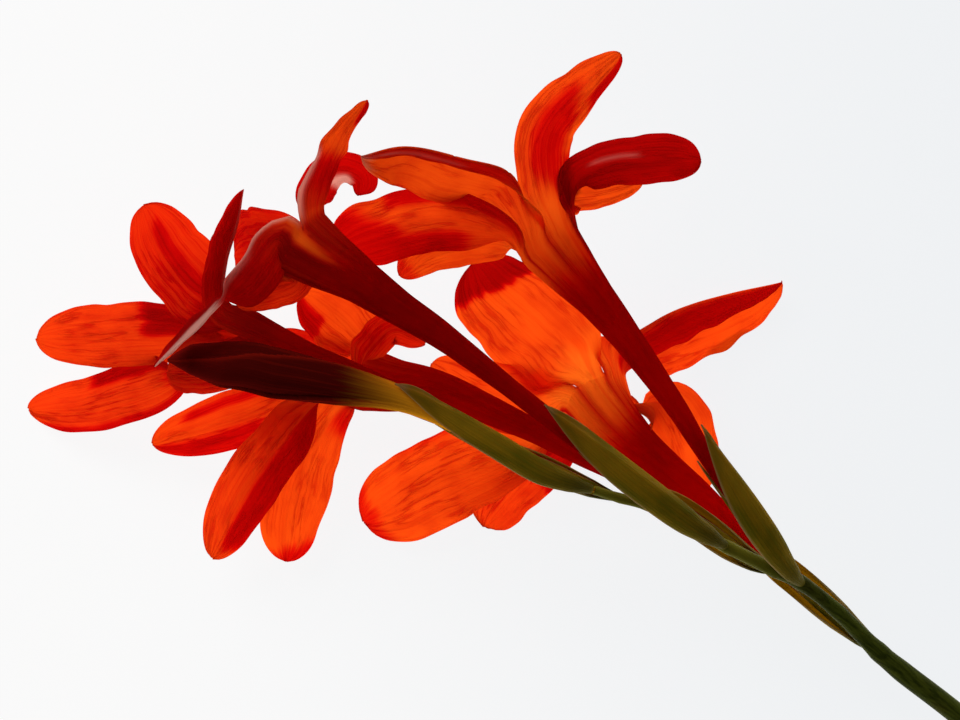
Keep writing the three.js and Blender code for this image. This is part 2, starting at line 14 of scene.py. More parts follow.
import bmesh
import bpy
import numpy as np
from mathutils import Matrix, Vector

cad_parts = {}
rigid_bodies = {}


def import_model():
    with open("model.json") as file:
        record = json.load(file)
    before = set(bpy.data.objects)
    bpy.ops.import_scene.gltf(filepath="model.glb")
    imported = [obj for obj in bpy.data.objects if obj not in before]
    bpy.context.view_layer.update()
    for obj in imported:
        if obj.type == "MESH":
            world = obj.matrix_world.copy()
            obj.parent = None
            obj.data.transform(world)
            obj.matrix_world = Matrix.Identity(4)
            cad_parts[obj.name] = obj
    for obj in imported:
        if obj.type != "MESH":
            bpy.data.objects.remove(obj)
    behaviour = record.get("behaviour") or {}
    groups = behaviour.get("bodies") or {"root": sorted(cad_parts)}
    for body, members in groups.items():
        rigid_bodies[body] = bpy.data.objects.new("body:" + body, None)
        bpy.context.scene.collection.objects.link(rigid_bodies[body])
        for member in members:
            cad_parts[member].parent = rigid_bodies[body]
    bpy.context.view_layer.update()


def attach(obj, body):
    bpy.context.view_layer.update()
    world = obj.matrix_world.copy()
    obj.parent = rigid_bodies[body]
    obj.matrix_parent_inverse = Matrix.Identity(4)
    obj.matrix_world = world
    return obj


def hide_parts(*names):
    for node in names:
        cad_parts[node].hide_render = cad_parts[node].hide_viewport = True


Array = np.ndarray
Material = bpy.types.Material
Thing = bpy.types.Object
Span = tuple[float, float]
Point = tuple[float, float, float]
Colour = tuple[float, float, float]

MM = 0.001
REST_CENTRE = np.array([36.7, -35.4, 0.0])  # the part's origin, in the picture's axes
PHOTO_WIDTH_PX = 960
MM_PER_PX = 0.22
SEED = 11
LOG = logging.getLogger("gladiolus")

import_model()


# Small maths


def smoothstep(x: Any, low: float, high: float) -> Any:
    """Return the smooth 0-to-1 step of x between low and high, or its fall where low is the higher."""
    t = np.clip((np.asarray(x, dtype=float) - low) / (high - low), 0.0, 1.0)
    return t * t * (3.0 - 2.0 * t)


def lerp(a: Any, b: Any, t: Any) -> Any:
    """Return the straight blend from a to b."""
    return a + (b - a) * t


def unit(v: Array) -> Array:
    """Return the vectors of the last axis at unit length."""
    return v / np.maximum(np.linalg.norm(v, axis=-1, keepdims=True), 1e-12)


def bell(x: Any, width: float) -> Any:
    """Return a smooth bump of height 1 at x = 0."""
    return np.exp(-((np.asarray(x) / width) ** 2))


@dataclass
class Frames:
    """Places along a curve: points, and the along, up and side directions there."""

    point: Array
    along: Array
    normal: Array
    side: Array


class Centreline:
    """A smooth curve through points, walked by length, whose frames turn no more than it does."""

    STEPS = 60

    def __init__(self, points: Array, up: Array) -> None:
        """Lay the curve.

        Args:
            points: the places that it passes, one a row.
            up: the direction that the first frame's normal leans to.
        """
        self.points = np.asarray(points, dtype=float)
        dense = self._dense()
        steps = np.linalg.norm(np.diff(dense, axis=0), axis=1)
        self.distance = np.concatenate([[0.0], np.cumsum(steps)])
        self.length = float(self.distance[-1])
        self.dense = dense
        self.along = unit(np.gradient(dense, self.distance, axis=0))
        self.normal = self._carry(np.asarray(up, dtype=float))

    def _dense(self) -> Array:
        """Draw the centripetal curve through the given points.

        Returns:
            Many points on it, one a row.
        """
        p = self.points
        padded = np.vstack([2 * p[0] - p[1], p, 2 * p[-1] - p[-2]])
        last = len(padded) - 3
        parts = [self._stretch(*padded[i - 1 : i + 3], last=i == last) for i in range(1, last + 1)]
        return np.vstack(parts)

    def _stretch(self, a: Array, b: Array, c: Array, d: Array, last: bool) -> Array:
        """Return the points from b to c.

        Args:
            a: the point before b.
            b: where the stretch starts.
            c: where it ends.
            d: the point after c.
            last: whether the end point is wanted too.

        Returns:
            The points, one a row.
        """
        t0, t1, t2 = (math.sqrt(float(np.linalg.norm(q - p))) for p, q in ((a, b), (b, c), (c, d)))
        leave = ((b - a) / t0 - (c - a) / (t0 + t1) + (c - b) / t1) * t1
        arrive = ((c - b) / t1 - (d - b) / (t1 + t2) + (d - c) / t2) * t1
        t = np.linspace(0, 1, self.STEPS, endpoint=False)
        t = np.append(t, 1.0) if last else t
        t = t[:, None]
        bends = (3 * (c - b) - 2 * leave - arrive) * t**2 + (2 * (b - c) + leave + arrive) * t**3
        return b + leave * t + bends

    def _carry(self, up: Array) -> Array:
        """Return a normal at every dense point, carried along without twist.

        Args:
            up: the direction that the first one leans to.

        Returns:
            The normals, one a row.
        """
        normals = np.zeros_like(self.dense)
        last = up
        for i, along in enumerate(self.along):
            last = last - along * float(last @ along)
            last = last / np.linalg.norm(last)
            normals[i] = last
        return normals

    def frames(self, distances: Any) -> Frames:
        """Return the frames at distances from the start, carried straight on past the end.

        Args:
            distances: how far along, in millimetres.

        Returns:
            The frames there.
        """
        d = np.atleast_1d(np.asarray(distances, dtype=float))
        inside = np.clip(d, 0, self.length)

        def read(table: Array) -> Array:
            """Return the table's rows at the wanted places."""
            return np.stack([np.interp(inside, self.distance, table[:, k]) for k in range(3)], axis=1)

        along = unit(read(self.along))
        normal = read(self.normal)
        normal = unit(normal - along * np.sum(normal * along, axis=1, keepdims=True))
        point = read(self.dense) + along * (d - inside)[:, None]
        return Frames(point, along, normal, np.cross(along, normal))


# Meshes


@dataclass
class Skin:
    """Grids of points that will become one mesh, with a UV map and named values at the points."""

    name: str
    points: list[Array] = field(default_factory=list)
    faces: list[Array] = field(default_factory=list)
    uvs: list[Array] = field(default_factory=list)
    values: dict[str, list[Array]] = field(default_factory=dict)
    count: int = 0

    def add_grid(self, grid: Array, u: Array, v: Array, closed: bool = False, **values: Any) -> None:
        """Add a grid of rows and columns.

        Args:
            grid: points as rows by columns by 3, in millimetres.
            u: the UV's first number at each column, with one more at the end where the grid closes.
            v: its second number at each row.
            closed: whether the last column meets the first.
            **values: named numbers for each point, as rows by columns or something that spreads to it.
        """
        rows, columns = grid.shape[:2]
        strips = columns if closed else columns - 1
        i, j = (a.ravel() for a in np.meshgrid(np.arange(rows - 1), np.arange(strips), indexing="ij"))
        k = (j + 1) % columns
        near, far = i * columns, (i + 1) * columns
        quads = np.stack([near + j, near + k, far + k, far + j], axis=1)
        corners = np.stack([u[j], v[i], u[j + 1], v[i], u[j + 1], v[i + 1], u[j], v[i + 1]], axis=1)
        self.faces.append(quads + self.count)
        self.uvs.append(corners.reshape(-1, 4, 2))
        self.points.append(grid.reshape(-1, 3))
        for key, value in values.items():
            spread = np.broadcast_to(np.asarray(value, dtype=float), (rows, columns))
            self.values.setdefault(key, []).append(spread.ravel())
        self.count += rows * columns

    def make(self, material: Material, weld: float = 0.0) -> Thing:
        """Turn the grids into an object in the scene.

        Args:
            material: what it is made of.
            weld: how near two points are made one, in millimetres; 0 leaves them.

        Returns:
            The new object, at the origin.
        """
        points = (np.vstack(self.points) - REST_CENTRE) * MM
        mesh = bpy.data.meshes.new(self.name)
        mesh.from_pydata(points.tolist(), [], np.vstack(self.faces).tolist())
        layer = mesh.uv_layers.new(name="UVMap")
        layer.data.foreach_set("uv", np.vstack(self.uvs).reshape(-1).astype(np.float32))
        for key, parts in self.values.items():
            Workshop.note(mesh, key, np.concatenate(parts))
        if weld:
            Workshop.weld(mesh, weld * MM)
        mesh.shade_smooth()
        mesh.materials.append(material)
        return Workshop.place(self.name, mesh)


class Workshop:
    """What is done to meshes and objects, whatever they stand for."""

    @staticmethod
    def place(name: str, data: Any) -> Thing:
        """Put a new object in the scene.

        Args:
            name: its name.
            data: its mesh, lamp or camera.

        Returns:
            The object, at the origin.
        """
        made = bpy.data.objects.new(name, data)
        bpy.context.scene.collection.objects.link(made)
        return made

    @staticmethod
    def note(mesh: bpy.types.Mesh, key: str, values: Array) -> None:
        """Keep a number for each point of a mesh under a name."""
        attribute = mesh.attributes.new(key, "FLOAT", "POINT")
        attribute.data.foreach_set("value", values.astype(np.float32))

    @staticmethod
    def wire(name: str, points: Any, edges: list[tuple[int, int]], **values: Array) -> Thing:
        """Put edges without faces in the scene, for a tree to lay rods along.

        Args:
            name: the object's name.
            points: one a row, in millimetres.
            edges: pairs of points' numbers.
            **values: named numbers for each point.

        Returns:
            The object.
        """
        mesh = bpy.data.meshes.new(name)
        mesh.from_pydata(((np.array(points) - REST_CENTRE) * MM).tolist(), edges, [])
        for key, numbers in values.items():
            Workshop.note(mesh, key, numbers)
        return Workshop.place(name, mesh)

    @staticmethod
    def weld(mesh: bpy.types.Mesh, distance: float) -> None:
        """Make near points one, and turn the faces the same way.

        Args:
            mesh: what is welded.
            distance: how near the points are, in metres.
        """
        work = bmesh.new()
        work.from_mesh(mesh)
        bmesh.ops.remove_doubles(work, verts=work.verts, dist=distance)
        bmesh.ops.recalc_face_normals(work, faces=work.faces)
        work.to_mesh(mesh)
        work.free()

    @staticmethod
    def settle(thing: Thing) -> Thing:
        """Replace an object's mesh by what its modifiers make of it, and take them off.

        Args:
            thing: the object.

        Returns:
            The same object, with a plain mesh.
        """
        depsgraph = bpy.context.evaluated_depsgraph_get()
        made = bpy.data.meshes.new_from_object(
            thing.evaluated_get(depsgraph), preserve_all_data_layers=True, depsgraph=depsgraph
        )
        before = thing.data
        thing.modifiers.clear()
        thing.data = made
        name = before.name
        bpy.data.meshes.remove(before)
        made.name = name
        return thing

    @staticmethod
    def thicken(thing: Thing, thickness: float, edge: float) -> Thing:
        """Give a sheet its thickness, thinner where its "thin" value is high.

        Args:
            thing: the sheet.
            thickness: in millimetres, in the middle.
            edge: the share of it that is left where "thin" is 1.

        Returns:
            The same object, now a closed shell.
        """
        mesh = thing.data
        thin = np.zeros(len(mesh.vertices), dtype=np.float32)
        mesh.attributes["thin"].data.foreach_get("value", thin)
        group = thing.vertex_groups.new(name="body")
        for index, value in enumerate(thin):
            group.add([index], 1.0 - float(value), "REPLACE")
        solid = thing.modifiers.new("thickness", "SOLIDIFY")
        solid.thickness = thickness * MM
        solid.offset = 0.0
        solid.use_rim = True
        solid.vertex_group = group.name
        solid.thickness_vertex_group = edge
        Workshop.settle(thing)
        thing.vertex_groups.clear()
        return thing

    @staticmethod
    def join(first: Thing, *others: Thing) -> Thing:
        """Join the others into the first object.

        Args:
            first: the object that stays.
            *others: the objects whose meshes it takes.

        Returns:
            The first object.
        """
        for thing in bpy.context.view_layer.objects:
            thing.select_set(thing == first or thing in others)
        bpy.context.view_layer.objects.active = first
        bpy.ops.object.join()
        first.select_set(False)
        return first

    @staticmethod
    def finish(thing: Thing, slot: str, *nodes: str) -> None:
        """Ride the piece on the spike's body and say which solids it stands for.

        Args:
            thing: the finished piece.
            slot: the record's material slot, not used.
            *nodes: the solids that it replaces.
        """
        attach(thing, "root")
        if nodes:
            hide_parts(*nodes)
        stands_for = ", ".join(nodes) or "none"
        LOG.info("%s: %d faces, stands for %s", thing.name, len(thing.data.polygons), stands_for)


# Node trees


Value = Union["Wire", float]


class Wire:
    """A number in a node tree, with Python's operators as Math nodes."""

    def __init__(self, board: "Board", socket: bpy.types.NodeSocket) -> None:
        """Keep the socket that the number comes from.

        Args:
            board: the tree that it is in.
            socket: the output that carries it.
        """
        self.board = board
        self.socket = socket

    def _math(self, operation: str, *values: Value, clamp: bool = False) -> "Wire":
        """Return the Math node's result on the values."""
        settings = {"operation": operation, "use_clamp": clamp}
        return self.board.node("ShaderNodeMath", settings, dict(enumerate(values)))

    def __add__(self, other: Value) -> "Wire":
        """Return the sum."""
        return self._math("ADD", self, other)

    __radd__ = __add__

    def __sub__(self, other: Value) -> "Wire":
        """Return the difference."""
        return self._math("SUBTRACT", self, other)

    def __rsub__(self, other: Value) -> "Wire":
        """Return the difference, from the other."""
        return self._math("SUBTRACT", other, self)

    def __mul__(self, other: Value) -> "Wire":
        """Return the product."""
        return self._math("MULTIPLY", self, other)

    __rmul__ = __mul__

    def __truediv__(self, other: Value) -> "Wire":
        """Return the quotient."""
        return self._math("DIVIDE", self, other)

    def __abs__(self) -> "Wire":
        """Return the size without the sign."""
        return self._math("ABSOLUTE", self)

    def power(self, exponent: Value) -> "Wire":
        """Return the power."""
        return self._math("POWER", self, exponent)

    def fraction(self) -> "Wire":
        """Return the part after the decimal point."""
        return self._math("FRACT", self)

    def clamped(self) -> "Wire":
        """Return the number held between 0 and 1."""
        return self._math("ADD", self, 0.0, clamp=True)

    def ramp(self, low: float, high: float) -> "Wire":
        """Return the smooth 0-to-1 step between low and high, or its fall where low is the higher."""
        ends = {0: self, 1: low, 2: high, 3: 0.0, 4: 1.0}
        return self.board.node("ShaderNodeMapRange", {"interpolation_type": "SMOOTHSTEP"}, ends)


class Board:
    """A node tree that is written from code."""

    def __init__(self, tree: bpy.types.NodeTree) -> None:
        """Take an empty tree.

        Args:
            tree: the node tree to write in.
        """
        self.tree = tree

    def node(
        self,
        kind: str,
        settings: Optional[dict[str, Any]] = None,
        sockets: Optional[dict[Union[int, str], Any]] = None,
        output: Union[int, str] = 0,
    ) -> Wire:
        """Add a node.

        Args:
            kind: its type.
            settings: its properties, set first; "stops" gives a colour ramp's places and colours.
            sockets: values or wires by the input's number or name.
            output: the output wanted.

        Returns:
            That output, as a wire.
        """
        made = self.tree.nodes.new(kind)
        for key, value in (settings or {}).items():
            if key == "stops":
                self._stops(made.color_ramp, value)
            else:
                setattr(made, key, value)
        for key, value in (sockets or {}).items():
            self.feed(made.inputs[key], value)
        return Wire(self, made.outputs[output])

    def feed(self, socket: bpy.types.NodeSocket, value: Any) -> None:
        """Give an input its wire or constant.

        Args:
            socket: the input.
            value: a wire, a number, a colour or a vector.
        """
        if isinstance(value, Wire):
            self.tree.links.new(value.socket, socket)
        elif socket.type == "RGBA" and len(value) == 3:
            socket.default_value = (*value, 1.0)
        else:
            socket.default_value = value

    @staticmethod
    def _stops(ramp: bpy.types.ColorRamp, stops: list[tuple[float, Colour]]) -> None:
        """Set a colour ramp's stops.

        Args:
            ramp: the ramp.
            stops: each one's place and colour.
        """
        while len(ramp.elements) < len(stops):
            ramp.elements.new(1.0)
        for element, (place, colour) in zip(ramp.elements, stops):
            element.position = place
            element.color = (*colour, 1.0)

    def mix(self, factor: Value, a: Any, b: Any) -> Wire:
        """Return a colour that goes from a to b as factor goes from 0 to 1."""
        return self.node("ShaderNodeMix", {"data_type": "RGBA"}, {0: factor, 6: a, 7: b}, output=2)

    def blend(self, factor: Value, a: Wire, b: Wire) -> Wire:
        """Return a shader that goes from a to b as factor goes from 0 to 1."""
        return self.node("ShaderNodeMixShader", None, {0: factor, 1: a, 2: b})

    def pack(self, x: Value, y: Value, z: Value = 0.0) -> Wire:
        """Return a vector of three numbers."""
        return self.node("ShaderNodeCombineXYZ", None, {0: x, 1: y, 2: z})

    def noise(self, vector: Wire, scale: float, detail: float = 2.0, roughness: float = 0.5) -> Wire:
        """Return smooth noise between 0 and 1 at a vector."""
        return self.node("ShaderNodeTexNoise", None, {0: vector, 2: scale, 3: detail, 4: roughness})

    def ridge(self, noise: Wire, width: float) -> Wire:
        """Return thin lines where a noise passes its middle."""
        return abs(noise - 0.5).ramp(width * 0.5, 0.0)

    def part(self, vector: Wire, axis: str) -> Wire:
        """Return a vector's number on the axis X, Y or Z."""
        return self.node("ShaderNodeSeparateXYZ", None, {0: vector}, output=axis)

    def value(self, name: str) -> Wire:
        """Return a named value of the mesh."""
        return self.node("ShaderNodeAttribute", {"attribute_name": name}, output="Fac")

    def uv(self) -> tuple[Wire, Wire]:
        """Return the two numbers of the mesh's UV map."""
        place = self.node("ShaderNodeUVMap", {"uv_map": "UVMap"})
        return self.part(place, "X"), self.part(place, "Y")

    def objects(self) -> Wire:
        """Return the Object coordinates."""
        return self.node("ShaderNodeTexCoord", output="Object")

    def bump(self, height: Wire, depth: float) -> Wire:
        """Return a normal from a height, depth being in millimetres."""
        sockets = {"Strength": 1.0, "Distance": depth * MM, "Height": height}
        return self.node("ShaderNodeBump", None, sockets)

    def through(self, colour: Colour, normal: Wire) -> Wire:
        """Return the shader for light that comes through a thin skin in a colour."""
        return self.node("ShaderNodeBsdfTranslucent", None, {0: colour, "Normal": normal})


# Finishes


@dataclass(frozen=True)
class Finish:
    """What every finish has: a name, and how shiny it is."""

    name: str
    roughness: float = 0.45
    gloss: float = 0.35

    def start(self) -> tuple[Material, Board]:
        """Start a material.

        Returns:
            The material, and its tree without nodes.
        """
        material = bpy.data.materials.new(self.name)
        material.use_nodes = True
        material.node_tree.nodes.clear()
        return material, Board(material.node_tree)

    def surface(self, board: Board, colour: Wire, normal: Wire) -> Wire:
        """Return the Principled shader in a colour, with the finish's own roughness and gloss."""
        own = {"Normal": normal, "Roughness": self.roughness, "Specular IOR Level": self.gloss}
        return board.node("ShaderNodeBsdfPrincipled", None, {"Base Color": colour, **own})

    def close(self, board: Board, shader: Wire) -> None:
        """Wire the shader to the material's output."""
        end = board.tree.nodes.new("ShaderNodeOutputMaterial")
        board.tree.links.new(shader.socket, end.inputs["Surface"])


@dataclass(frozen=True)
class PetalFinish(Finish):
    """Thin red tissue that lets light through, with fine veins from foot to tip.

    The mesh's "share" runs from -1 at the tube's foot through 0 at the mouth to 1 at the tips. Its
    "dusk" is painted shade: it runs from 0, where the tissue glows orange, to 1, where it is deep
    crimson as if in shadow, and its "pale" is 1 where a pale sheen is painted on.
    """

    blade: Colour = (0.8, 0.06, 0.012)
    crimson: Colour = (0.4, 0.006, 0.006)
    maroon: Colour = (0.13, 0.002, 0.002)
    # the colour of the painted sheen on the skin
    painted_sheen: Colour = (0.8, 0.5, 0.42)
    glow: Colour = (0.93, 0.28, 0.06)  # this and the next three come through it, against the light
    ember: Colour = (0.82, 0.035, 0.03)
    throat: Colour = (1.0, 0.42, 0.1)
    # the light that comes through the painted sheen
    sheen_glow: Colour = (0.96, 0.7, 0.62)
    clear: float = 0.82  # how much of it is light from behind
    veins: float = 30.0  # across a petal
    wander: float = 0.07  # of the veins, in petal widths
    grain: float = 0.2  # depth of its wrinkles, in millimetres
    tube: Span = (-0.01, -0.1)  # shares over which the blade turns into the tube
    throat_starts: Span = (-0.14, -0.04)  # and the yellower throat comes
    throat_ends: Span = (0.34, 0.03)  # and goes

    def material(self) -> Material:
        """Write the material.

        Returns:
            Petal tissue on the mesh's UV map, share, dusk of painted shade and pale of painted sheen.
        """
        material, board = self.start()
        u, v = board.uv()
        share, dusk = board.value("share"), board.value("dusk")
        across = abs(u.fraction() * 2.0 - 1.0)

        # Veins and finer threads from foot to tip, broad bands, blotches, and creases here and there,
        # with painted shade along the creases
        bent = u + board.noise(board.pack(u * 4.0, v * 9.0), 1.0) * self.wander
        lines = board.noise(board.pack(bent * self.veins, v * 2.4), 1.0, detail=3.0, roughness=0.6)
        threads = board.noise(board.pack(bent * self.veins * 2.4, v * 5.0), 1.0)
        vein, thread = lines.ramp(0.48, 0.66), board.ridge(threads, 0.16)
        band = board.noise(board.pack(bent * 6.0, v * 1.6), 1.0).ramp(0.5, 0.68)
        blotch = board.noise(board.pack(u * 3.0, v * 13.0), 1.0, detail=3.0).ramp(0.4, 0.75)
        folds = board.noise(board.pack(bent * 9.0, v * 4.5), 1.0, detail=3.0, roughness=0.6)
        creased = board.noise(board.pack(u * 2.0, v * 6.0, 3.0), 1.0).ramp(0.4, 0.6)
        crease = board.ridge(folds, 0.1) * creased
        mark = vein * 0.32 + thread * 0.2 + blotch * 0.4 + band * 0.32
        mark = mark * (1.0 - share.ramp(0.75, 1.0) * 0.6)

        # Where it is tube and throat, where crimson shade is painted, and where a pale sheen is painted
        tube = share.ramp(*self.tube)
        throat = share.ramp(*self.throat_starts) * share.ramp(*self.throat_ends)
        throat = throat * (1.0 - dusk).clamped()
        # dusk is painted shade; its crimson runs deeper along the veins
        deep = dusk + (lines - 0.5) * dusk.ramp(0.12, 0.35) * 0.4
        hue = (deep.ramp(0.0, 0.7) + tube * 0.9 + mark * 0.36 + crease * 0.36).clamped()
        depth = deep.ramp(0.4, 1.0) * (1.0 - tube * 0.6)
        # pale marks where a sheen is painted
        pale = (board.value("pale") * (0.72 + lines * 0.5)).clamped()

        # The skin that light falls on, the light through it, and how much there is of each
        red = board.mix(hue, self.blade, self.crimson)
        red = board.mix((depth * 0.8 + tube * 0.3 + mark * 0.15).clamped(), red, self.maroon)
        wrinkle = board.noise(board.pack(u * 12.0, v * 55.0), 1.0, detail=3.0)
        normal = board.bump(lines * 0.5 + threads * 0.2 + wrinkle * 0.3 - crease * 0.6, self.grain)
        skin = self.surface(board, board.mix(pale, red, self.painted_sheen), normal)
        light = board.blend(hue, board.through(self.glow, normal), board.through(self.ember, normal))
        light = board.blend((throat - band * 0.4).clamped(), light, board.through(self.throat, normal))
        light = board.blend(pale, light, board.through(self.sheen_glow, normal))
        clear = self.clear + across.ramp(0.82, 1.0) * 0.05 + throat * 0.18 + tube * 0.1
        clear = clear - (depth * 0.28 + (mark * 0.15 + crease * 0.08) * (1.0 - throat * 0.7))
        self.close(board, board.blend(clear.clamped(), skin, light))
        return material


@dataclass(frozen=True)
class BudFinish(Finish):
    """Furled petals, dark maroon with an ochre foot, painted bright as if lit through."""

    tip: Colour = (0.14, 0.004, 0.003)
    middle: Colour = (0.085, 0.003, 0.002)
    # ochre, brightened into a painted glow, as if light came through the foot
    foot: Colour = (1.0, 0.38, 0.012)
    streak: Colour = (0.34, 0.012, 0.004)

    def material(self) -> Material:
        """Write the material.

        Returns:
            A furled bud whose look follows the mesh's UV map, its share value from foot to tip, and its
            dusk value, which is 1 along the petals' edges.
        """
        material, board = self.start()
        u, v = board.uv()
        share, edge = board.value("share"), board.value("dusk")
        lines = board.noise(board.pack(u * 46.0, v * 2.0), 1.0, detail=3.0, roughness=0.6)
        ochre = (share + lines * 0.12).ramp(0.7, 0.46)
        red = board.mix(share.ramp(0.75, 1.0), self.middle, self.tip)
        red = board.mix(lines.ramp(0.5, 0.8) * 0.4, red, self.streak)
        red = board.mix(edge * 0.5, red, self.streak)
        # the ochre foot, its colour brightened into a painted glow
        red = board.mix(ochre, red, self.foot)
        height = lines * 0.7 + board.noise(board.pack(u * 20.0, v * 50.0), 1.0) * 0.3
        normal = board.bump(height, 0.12)
        self.close(board, self.surface(board, red, normal))
        return material


@dataclass(frozen=True)
class SheathFinish(Finish):
    """A ribbed olive bract with a pale, papery margin."""

    face: Colour = (0.46, 0.27, 0.012)
    shade: Colour = (0.15, 0.15, 0.006)
    flush: Colour = (0.3, 0.09, 0.008)
    margin: Colour = (0.6, 0.46, 0.26)
    glow: Colour = (0.68, 0.46, 0.03)
    root: Colour = (0.05, 0.055, 0.006)
    clear: float = 0.42  # how much of it is light from behind
    ribs: float = 15.0  # across it

    def material(self) -> Material:
        """Write the material.

        Returns:
            A ribbed bract whose look follows the mesh's values: share along it, place across it, and
            thin, which is 1 at its margin.
        """
        material, board = self.start()
        u, v = board.value("place"), board.value("share")
        margin = board.value("thin").ramp(0.35, 0.95)
        lines = board.noise(board.pack(u * 34.0, v * 1.4), 1.0, detail=3.0, roughness=0.65)
        flecks = board.noise(board.pack(u * 12.0, v * 22.0), 1.0, detail=4.0, roughness=0.7)
        rib = (abs((u * self.ribs).fraction() - 0.5) * 2.0).ramp(0.55, 1.0)
        patch = board.noise(board.pack(u * 1.5, v * 3.2), 1.0, detail=2.0)
        shaded = (lines.ramp(0.35, 0.7) * 0.4 + patch.ramp(0.4, 0.6) * 0.7).clamped()
        green = board.mix(shaded, self.face, self.shade)
        green = board.mix(flecks.ramp(0.5, 0.8) * 0.4, green, self.flush)
        green = board.mix(v.ramp(0.55, 1.0) * 0.35, green, self.flush)
        green = board.mix(rib * 0.3, green, self.shade)
        foot = v.ramp(0.3, 0.02)
        green = board.mix(foot * 0.8, green, self.root)
        green = board.mix(margin * (1.0 - foot) * 0.75, green, self.margin)
        normal = board.bump(lines * 0.6 + rib * 0.5 + flecks * 0.3, 0.12)
        skin = self.surface(board, green, normal)
        clear = self.clear + margin * 0.3 - lines.ramp(0.4, 0.8) * 0.12 - foot * 0.4
        self.close(board, board.blend(clear.clamped(), skin, board.through(self.glow, normal)))
        return material


@dataclass(frozen=True)
class StemFinish(Finish):
    """A smooth green stem with fine ribs, olive where it runs among the bracts."""

    green: Colour = (0.07, 0.085, 0.008)
    dark: Colour = (0.025, 0.034, 0.003)
    brown: Colour = (0.1, 0.06, 0.008)
    olive: Colour = (0.2, 0.18, 0.014)
    among: Span = (0.038, 0.018)  # metres along X over which the bracts begin
    turn: float = 38.5  # degrees that bring the stem onto the X axis
    scales: Point = (60.0, 1500.0, 1500.0)  # of its ribs, along and across it

    def material(self) -> Material:
        """Write the material.

        Returns:
            A ribbed stem, its pattern on Object coordinates.
        """
        material, board = self.start()
        place = board.objects()
        turn = {"Vector": place, "Rotation": (0.0, 0.0, math.radians(self.turn))}
        turned = board.node("ShaderNodeMapping", None, turn)
        scaled = {0: turned, 1: self.scales}
        stretched = board.node("ShaderNodeVectorMath", {"operation": "MULTIPLY"}, scaled)
        lines = board.noise(stretched, 1.0, detail=3.0, roughness=0.6)
        patches = board.noise(place, 90.0, detail=3.0)
        colour = board.mix(lines.ramp(0.35, 0.7), self.green, self.dark)
        colour = board.mix(patches.ramp(0.5, 0.75) * 0.35, colour, self.brown)
        along = board.part(place, "X")
        colour = board.mix(along.ramp(*self.among) * (0.5 + patches * 0.6), colour, self.olive)
        normal = board.bump(lines, 0.1)
        self.close(board, self.surface(board, colour, normal))
        return material


@dataclass(frozen=True)
class DustFinish(Finish):
    """A matt finish with fine grain, for anthers, filaments and the cut pith."""

    colour: Colour = (0.7, 0.5, 0.36)
    speck: Colour = (0.4, 0.2, 0.2)
    grain: float = 1400.0

    def material(self) -> Material:
        """Write the material.

        Returns:
            A grained finish, on Object coordinates.
        """
        material, board = self.start()
        grain = board.noise(board.objects(), self.grain, detail=3.0, roughness=0.7)
        colour = board.mix(grain.ramp(0.45, 0.7), self.colour, self.speck)
        normal = board.bump(grain, 0.06)
        self.close(board, self.surface(board, colour, normal))
        return material


@dataclass(frozen=True)
class TableFinish(Finish):
    """A plain pale table top, evenly bright."""

    left: Colour = (0.965, 0.965, 0.965)
    right: Colour = (0.87, 0.89, 0.91)
    body: Colour = (0.1, 0.1, 0.1)
    shine: float = 0.95
    turns_grey: Span = (-0.14, 0.1)  # metres along X over which it does

    def material(self) -> Material:
        """Write the material.

        Returns:
            A table that shines evenly, a little greyer to the right.
        """
        material, board = self.start()
        tone = board.mix(board.part(board.objects(), "X").ramp(*self.turns_grey), self.left, self.right)
        matt = {"Base Color": self.body, "Roughness": self.roughness, "Specular IOR Level": self.gloss}
        shine = {"Emission Color": tone, "Emission Strength": self.shine}
        self.close(board, board.node("ShaderNodeBsdfPrincipled", None, {**matt, **shine}))
        return material


class Finishes(Enum):
    """The finishes of the spike and its table."""

    PETAL = PetalFinish("petal tissue", roughness=0.5, gloss=0.0)
    BUD = BudFinish("furled bud", roughness=0.6, gloss=0.0)
    SHEATH = SheathFinish("green bract", roughness=0.5, gloss=0.01)
    STEM = StemFinish("green stem", roughness=0.5, gloss=0.02)
    ANTHER = DustFinish("anther", roughness=0.8, gloss=0.15)
    THREAD = DustFinish("filament", 0.5, colour=(0.85, 0.55, 0.5), speck=(0.7, 0.25, 0.2))
    PITH = DustFinish("cut pith", 0.8, colour=(0.6, 0.64, 0.38), speck=(0.35, 0.4, 0.16))
    TABLE = TableFinish("pale table", roughness=0.9, gloss=0.0)


class Dressing:
    """The materials, each made once."""

    def __init__(self) -> None:
        """Make every finish."""
        self.made = {finish: finish.value.material() for finish in Finishes}

    def __getitem__(self, finish: Finishes) -> Material:
        """Return the material of a finish."""
        return self.made[finish]


# Geometry node trees


